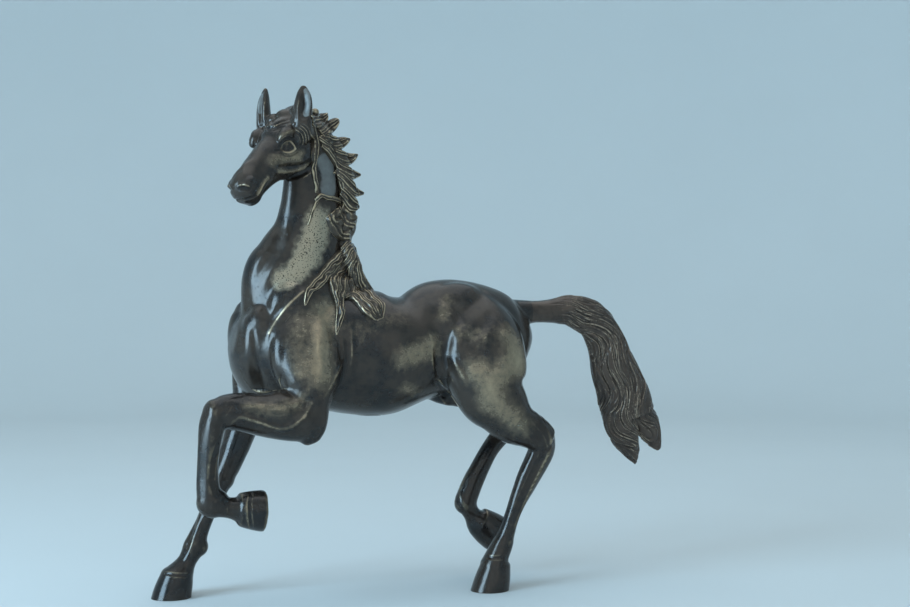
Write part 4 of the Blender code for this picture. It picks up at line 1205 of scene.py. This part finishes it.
# Pins, filed short of the skin
pins = []
for name, seam, side in (
        [("neck_pin", NECK_SEAM, 1), ("head_pin", HEAD_SEAM, 1), ("tail_pin", TAIL_SEAM, 1)]
        + [(name + "_pin", leg["seam"], 1 if "left" in name else -1) for name, leg in LEGS.items()]):
    low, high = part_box(name)
    facing = Vector(seam[1]).normalized()
    way = Vector((0, side, 0)) - facing * facing.y * side
    way.normalize()
    length = (high - low).y / abs(way.y) - 2 * PIN_RADIUS * MM * math.sqrt(1 - way.y ** 2) / abs(way.y)
    bpy.ops.mesh.primitive_cylinder_add(vertices=PIN_SIDES, radius=PIN_RADIUS * MM,
                                        depth=length - PIN_SHORT * MM)
    pin = bpy.context.object
    pin.name = pin.data.name = name + "_rod"
    place = Matrix.Translation((low + high) / 2 - way * PIN_SHORT / 2 * MM)
    pin.data.transform(place @ way.to_track_quat("Z", "Y").to_matrix().to_4x4())
    edge = pin.modifiers.new("Rounded end", "BEVEL")
    edge.width = PIN_ROUND * MM
    edge.segments = 3
    apply_all(pin)
    pins.append((name, pin))


class Wire:
    """An output of a node. Sums, differences and products of wires add the Math nodes for them."""

    def __init__(self, tree, socket):
        self.tree = tree
        self.socket = socket

    def math(self, operation, first, second):
        node = self.tree.nodes.new("ShaderNodeMath")
        node.operation = operation
        connect(self.tree, node.inputs[0], first)
        connect(self.tree, node.inputs[1], second)
        return Wire(self.tree, node.outputs[0])

    def __add__(self, other):
        return self.math("ADD", self, other)

    def __sub__(self, other):
        return self.math("SUBTRACT", self, other)

    def __rsub__(self, other):
        return self.math("SUBTRACT", other, self)

    def __mul__(self, other):
        return self.math("MULTIPLY", self, other)

    __radd__ = __add__
    __rmul__ = __mul__


def connect(tree, socket, value):
    """Links a wire to a socket, or sets its value."""
    if isinstance(value, Wire):
        tree.links.new(value.socket, socket)
    else:
        socket.default_value = value


class Finish:
    """A procedural material and the nodes that feed its shader."""

    def __init__(self, name):
        self.material = bpy.data.materials.new(name)
        self.material.use_nodes = True
        self.tree = self.material.node_tree
        self.shader = self.tree.nodes["Principled BSDF"]
        self.place = self.node("ShaderNodeTexCoord", "Object", {}, {})

    def node(self, kind, output, settings, sockets):
        """Adds a node of any kind, with its settings and then the values or wires of its sockets."""
        made = self.tree.nodes.new(kind)
        for name, value in settings.items():
            setattr(made, name, value)
        for name, value in sockets.items():
            connect(self.tree, made.inputs[name], value)
        return Wire(self.tree, made.outputs[output])

    def set(self, name, value):
        """Sets or links a socket of the shader."""
        connect(self.tree, self.shader.inputs[name], value)

    def clouds(self, size, detail=3.0):
        """Noise with lumps of a size in millimetres."""
        return self.node("ShaderNodeTexNoise", "Fac", {},
                         {"Vector": self.place, "Scale": 1 / (size * MM), "Detail": detail, "Roughness": 0.6})

    def kept(self, name):
        """A value that was kept on the skin."""
        return self.node("ShaderNodeAttribute", "Fac", {"attribute_name": name}, {})

    def mask(self, wire, low, high):
        """A soft rise from 0 at a low value to 1 at a high one."""
        return self.node("ShaderNodeMapRange", "Result", {"interpolation_type": "SMOOTHSTEP"},
                         {"Value": wire, "From Min": low, "From Max": high})

    def mix(self, share, first, second):
        """A colour between two colours."""
        ends = [end if isinstance(end, Wire) else (*end, 1) for end in (first, second)]
        return self.node("ShaderNodeMix", 2, {"data_type": "RGBA"}, {0: share, 6: ends[0], 7: ends[1]})


# Colours of the patina, of the painted bluish reflection and of the painted shade and pits
GREY = (0.011, 0.011, 0.012)
BROWN = (0.04, 0.03, 0.023)
BARE = (0.56, 0.45, 0.31)
PALE_PATINA = (0.4, 0.35, 0.26)
# Colour of the painted bluish reflection
REFLECTION_BLUE_GREY = (0.17, 0.185, 0.185)
# Colour of the painted shade in hollows and of the pits
SHADE_AND_PIT_DARK = (0.008, 0.007, 0.007)


def bronze(name, dark, brown, bare, gloss):
    """Patinated cast bronze: brown and grey clouds, bare metal where it is rubbed that also paints warm
    reflection and highlights, pale patina, a painted bluish reflection, painted shade in hollows, and dark
    pits.
    """
    finish = Finish(name)
    broad = finish.clouds(16, 4)
    small = finish.clouds(3.2, 4)
    grain = finish.clouds(0.7, 2)
    pits = finish.mask(finish.clouds(1.5, 2), 0.62, 0.72)
    specks = finish.mask(finish.clouds(0.8, 1), 0.58, 0.64)
    worn_and_sheen, painted_shade = finish.kept("worn_and_sheen"), finish.kept("painted_shade")
    pale = finish.mask(finish.kept("pale") + small * 0.7 + broad * 0.6 - 0.65, 0.2, 0.75)
    # Painted bluish reflection
    painted_reflection = finish.mask(finish.kept("painted_reflection") + small * 0.3 - 0.15, 0.3, 0.6)
    # Painted shade in hollows, with dark pits and specks
    shade_and_pits = finish.mask(painted_shade + pits * 0.35 + pale * specks, 0.1, 1.1)
    # Rubbed bare metal, partly a painted warm reflection and painted highlights
    rubbed_and_sheen = finish.mask(worn_and_sheen * 1.1 + small * 0.6 + grain * 0.3 - 0.45, 0.12, 1.15)
    colour = finish.mix(finish.mask(broad + small * 0.35, 0.45, 0.8), dark, brown)
    colour = finish.mix(rubbed_and_sheen * 0.9, colour, bare)
    colour = finish.mix(pale * 0.9, colour, PALE_PATINA)
    colour = finish.mix(painted_reflection * (0.35 + small * 0.8), colour, REFLECTION_BLUE_GREY)
    finish.set("Base Color", finish.mix(shade_and_pits * 0.85, colour, SHADE_AND_PIT_DARK))
    finish.set("Metallic", finish.mask(rubbed_and_sheen + pale * 0.5 - painted_reflection * 0.5, -0.4, 0.9))
    finish.set("Roughness", gloss + broad * 0.08 + painted_shade * 0.15 + rubbed_and_sheen * 0.22 + pale * 0.12 + painted_reflection * 0.2)
    height = grain * 0.25 + small * 0.5 - pits * 0.6
    finish.set("Normal", finish.node("ShaderNodeBump", "Normal", {},
                                     {"Strength": 0.35, "Distance": 0.25 * MM, "Height": height}))
    return finish.material


finishes = {
    "bronze_body": bronze("body bronze", GREY, BROWN, BARE, 0.17),
    "bronze_neck": bronze("neck bronze", GREY, BROWN, BARE, 0.17),
    "bronze_head": bronze("head bronze", GREY, BROWN, BARE, 0.17),
    "bronze_hair": bronze("hair bronze", (0.03, 0.023, 0.017), (0.075, 0.057, 0.04),
                          (0.63, 0.51, 0.35), 0.18),
    "bronze_tail": bronze("tail bronze", (0.03, 0.021, 0.017), (0.075, 0.053, 0.04),
                          (0.58, 0.47, 0.36), 0.16),
    "bronze_leg": bronze("leg bronze", GREY, (0.03, 0.022, 0.017), (0.42, 0.35, 0.25), 0.13),
    "pin": bronze("pin bronze", BROWN, BARE, BARE, 0.25),
    "plug": bronze("plug bronze", GREY, BROWN, BARE, 0.2),
}
slots = {part["node"]: part["material_slot"] for part in frame["record"]["subparts"]}
pieces = [*castings.items(), *pins, ("belly_plug", plug), ("mane_crest", crest),
          ("mane_fall_left", left_fall), ("mane_fall_right", right_fall)]
for name, body in pieces:
    body.data.materials.clear()
    body.data.materials.append(finishes[slots[name]])
    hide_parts(name)
    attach(body, "root")

# Studio: a pale floor that curves up all round, in metres
FLOOR_RADIUS = 1.3
FLOOR_SIDES = 128
WALL_CURVE = 0.7
WALL_STEPS = 12
WALL_HEIGHT = 2.2
FLOOR_COLOURS = ((0.57, 0.63, 0.65), (0.61, 0.67, 0.69))
FLOOR_CLOUDS = 300


def raise_rim(rise, widening=1.0):
    """Extrudes the open rim of the floor upwards and widens it."""
    bpy.ops.mesh.select_all(action="DESELECT")
    bpy.ops.mesh.select_non_manifold()
    bpy.ops.mesh.extrude_edges_move(TRANSFORM_OT_translate={"value": (0, 0, rise)})
    bpy.ops.transform.resize(value=(widening, widening, 1))


bpy.ops.mesh.primitive_circle_add(vertices=FLOOR_SIDES, radius=FLOOR_RADIUS, fill_type="NGON")
floor = bpy.context.object
floor.name = "studio_floor"
bpy.ops.object.mode_set(mode="EDIT")
bpy.ops.mesh.select_mode(type="EDGE")
radius = FLOOR_RADIUS
height = 0.0
for k in range(1, WALL_STEPS + 1):
    turn = math.radians(90 / WALL_STEPS * k)
    wider = FLOOR_RADIUS + WALL_CURVE * math.sin(turn)
    higher = WALL_CURVE * (1 - math.cos(turn))
    raise_rim(higher - height, wider / radius)
    radius, height = wider, higher
raise_rim(WALL_HEIGHT - height)
bpy.ops.object.mode_set(mode="OBJECT")
bpy.ops.object.shade_smooth()
pale_floor = Finish("pale floor")
pale_floor.set("Base Color", pale_floor.mix(pale_floor.clouds(FLOOR_CLOUDS), *FLOOR_COLOURS))
pale_floor.set("Roughness", 0.8)
floor.data.materials.append(pale_floor.material)

# Lamps: across, ahead and up from the middle of the horse, width and height in metres, radiance and colour
HORSE_MIDDLE = Vector((0, 0, 0.14))
LAMPS = {
    "side window": ((-1.02, -0.8, 0.3), 0.65, 0.85, 12, (0.52, 0.79, 1)),
    "top softbox": ((0, 0.2, 1.6), 1.8, 1.8, 0.7, (0.95, 0.98, 1)),
    "front fill": ((0.3, -1.35, 0.5), 1.8, 1.1, 0.4, (1, 0.94, 0.84)),
}
AIR = (0.5, 0.58, 0.62, 1)
AIR_STRENGTH = 1.2


def lamp(name, place, width, height, radiance, colour):
    """A soft rectangular lamp that shines at the middle of the horse."""
    data = bpy.data.lights.new(name, "AREA")
    data.shape = "RECTANGLE"
    data.size = width
    data.size_y = height
    data.energy = radiance * math.pi * width * height
    data.color = colour
    away = ACROSS * place[0] + AHEAD * place[1] + UP * place[2]
    body = placed(name, data)
    body.location = HORSE_MIDDLE + away
    body.rotation_euler = (-away).to_track_quat("-Z", "Y").to_euler()


for name, row in LAMPS.items():
    lamp(name, *row)
world = bpy.context.scene.world or bpy.data.worlds.new("studio")
bpy.context.scene.world = world
world.use_nodes = True
air = world.node_tree.nodes["Background"].inputs
air["Color"].default_value = AIR
air["Strength"].default_value = AIR_STRENGTH

# Camera
lens = bpy.data.cameras.new("camera")
lens.sensor_width = 36
lens.lens = FOCUS / PICTURE_WIDTH * lens.sensor_width
camera = placed("camera", lens)
camera.location = CAMERA_AT
camera.rotation_euler = (math.radians(90), 0, CAMERA_TURN)
bpy.context.scene.camera = camera
bpy.context.scene.view_settings.view_transform = "Standard"
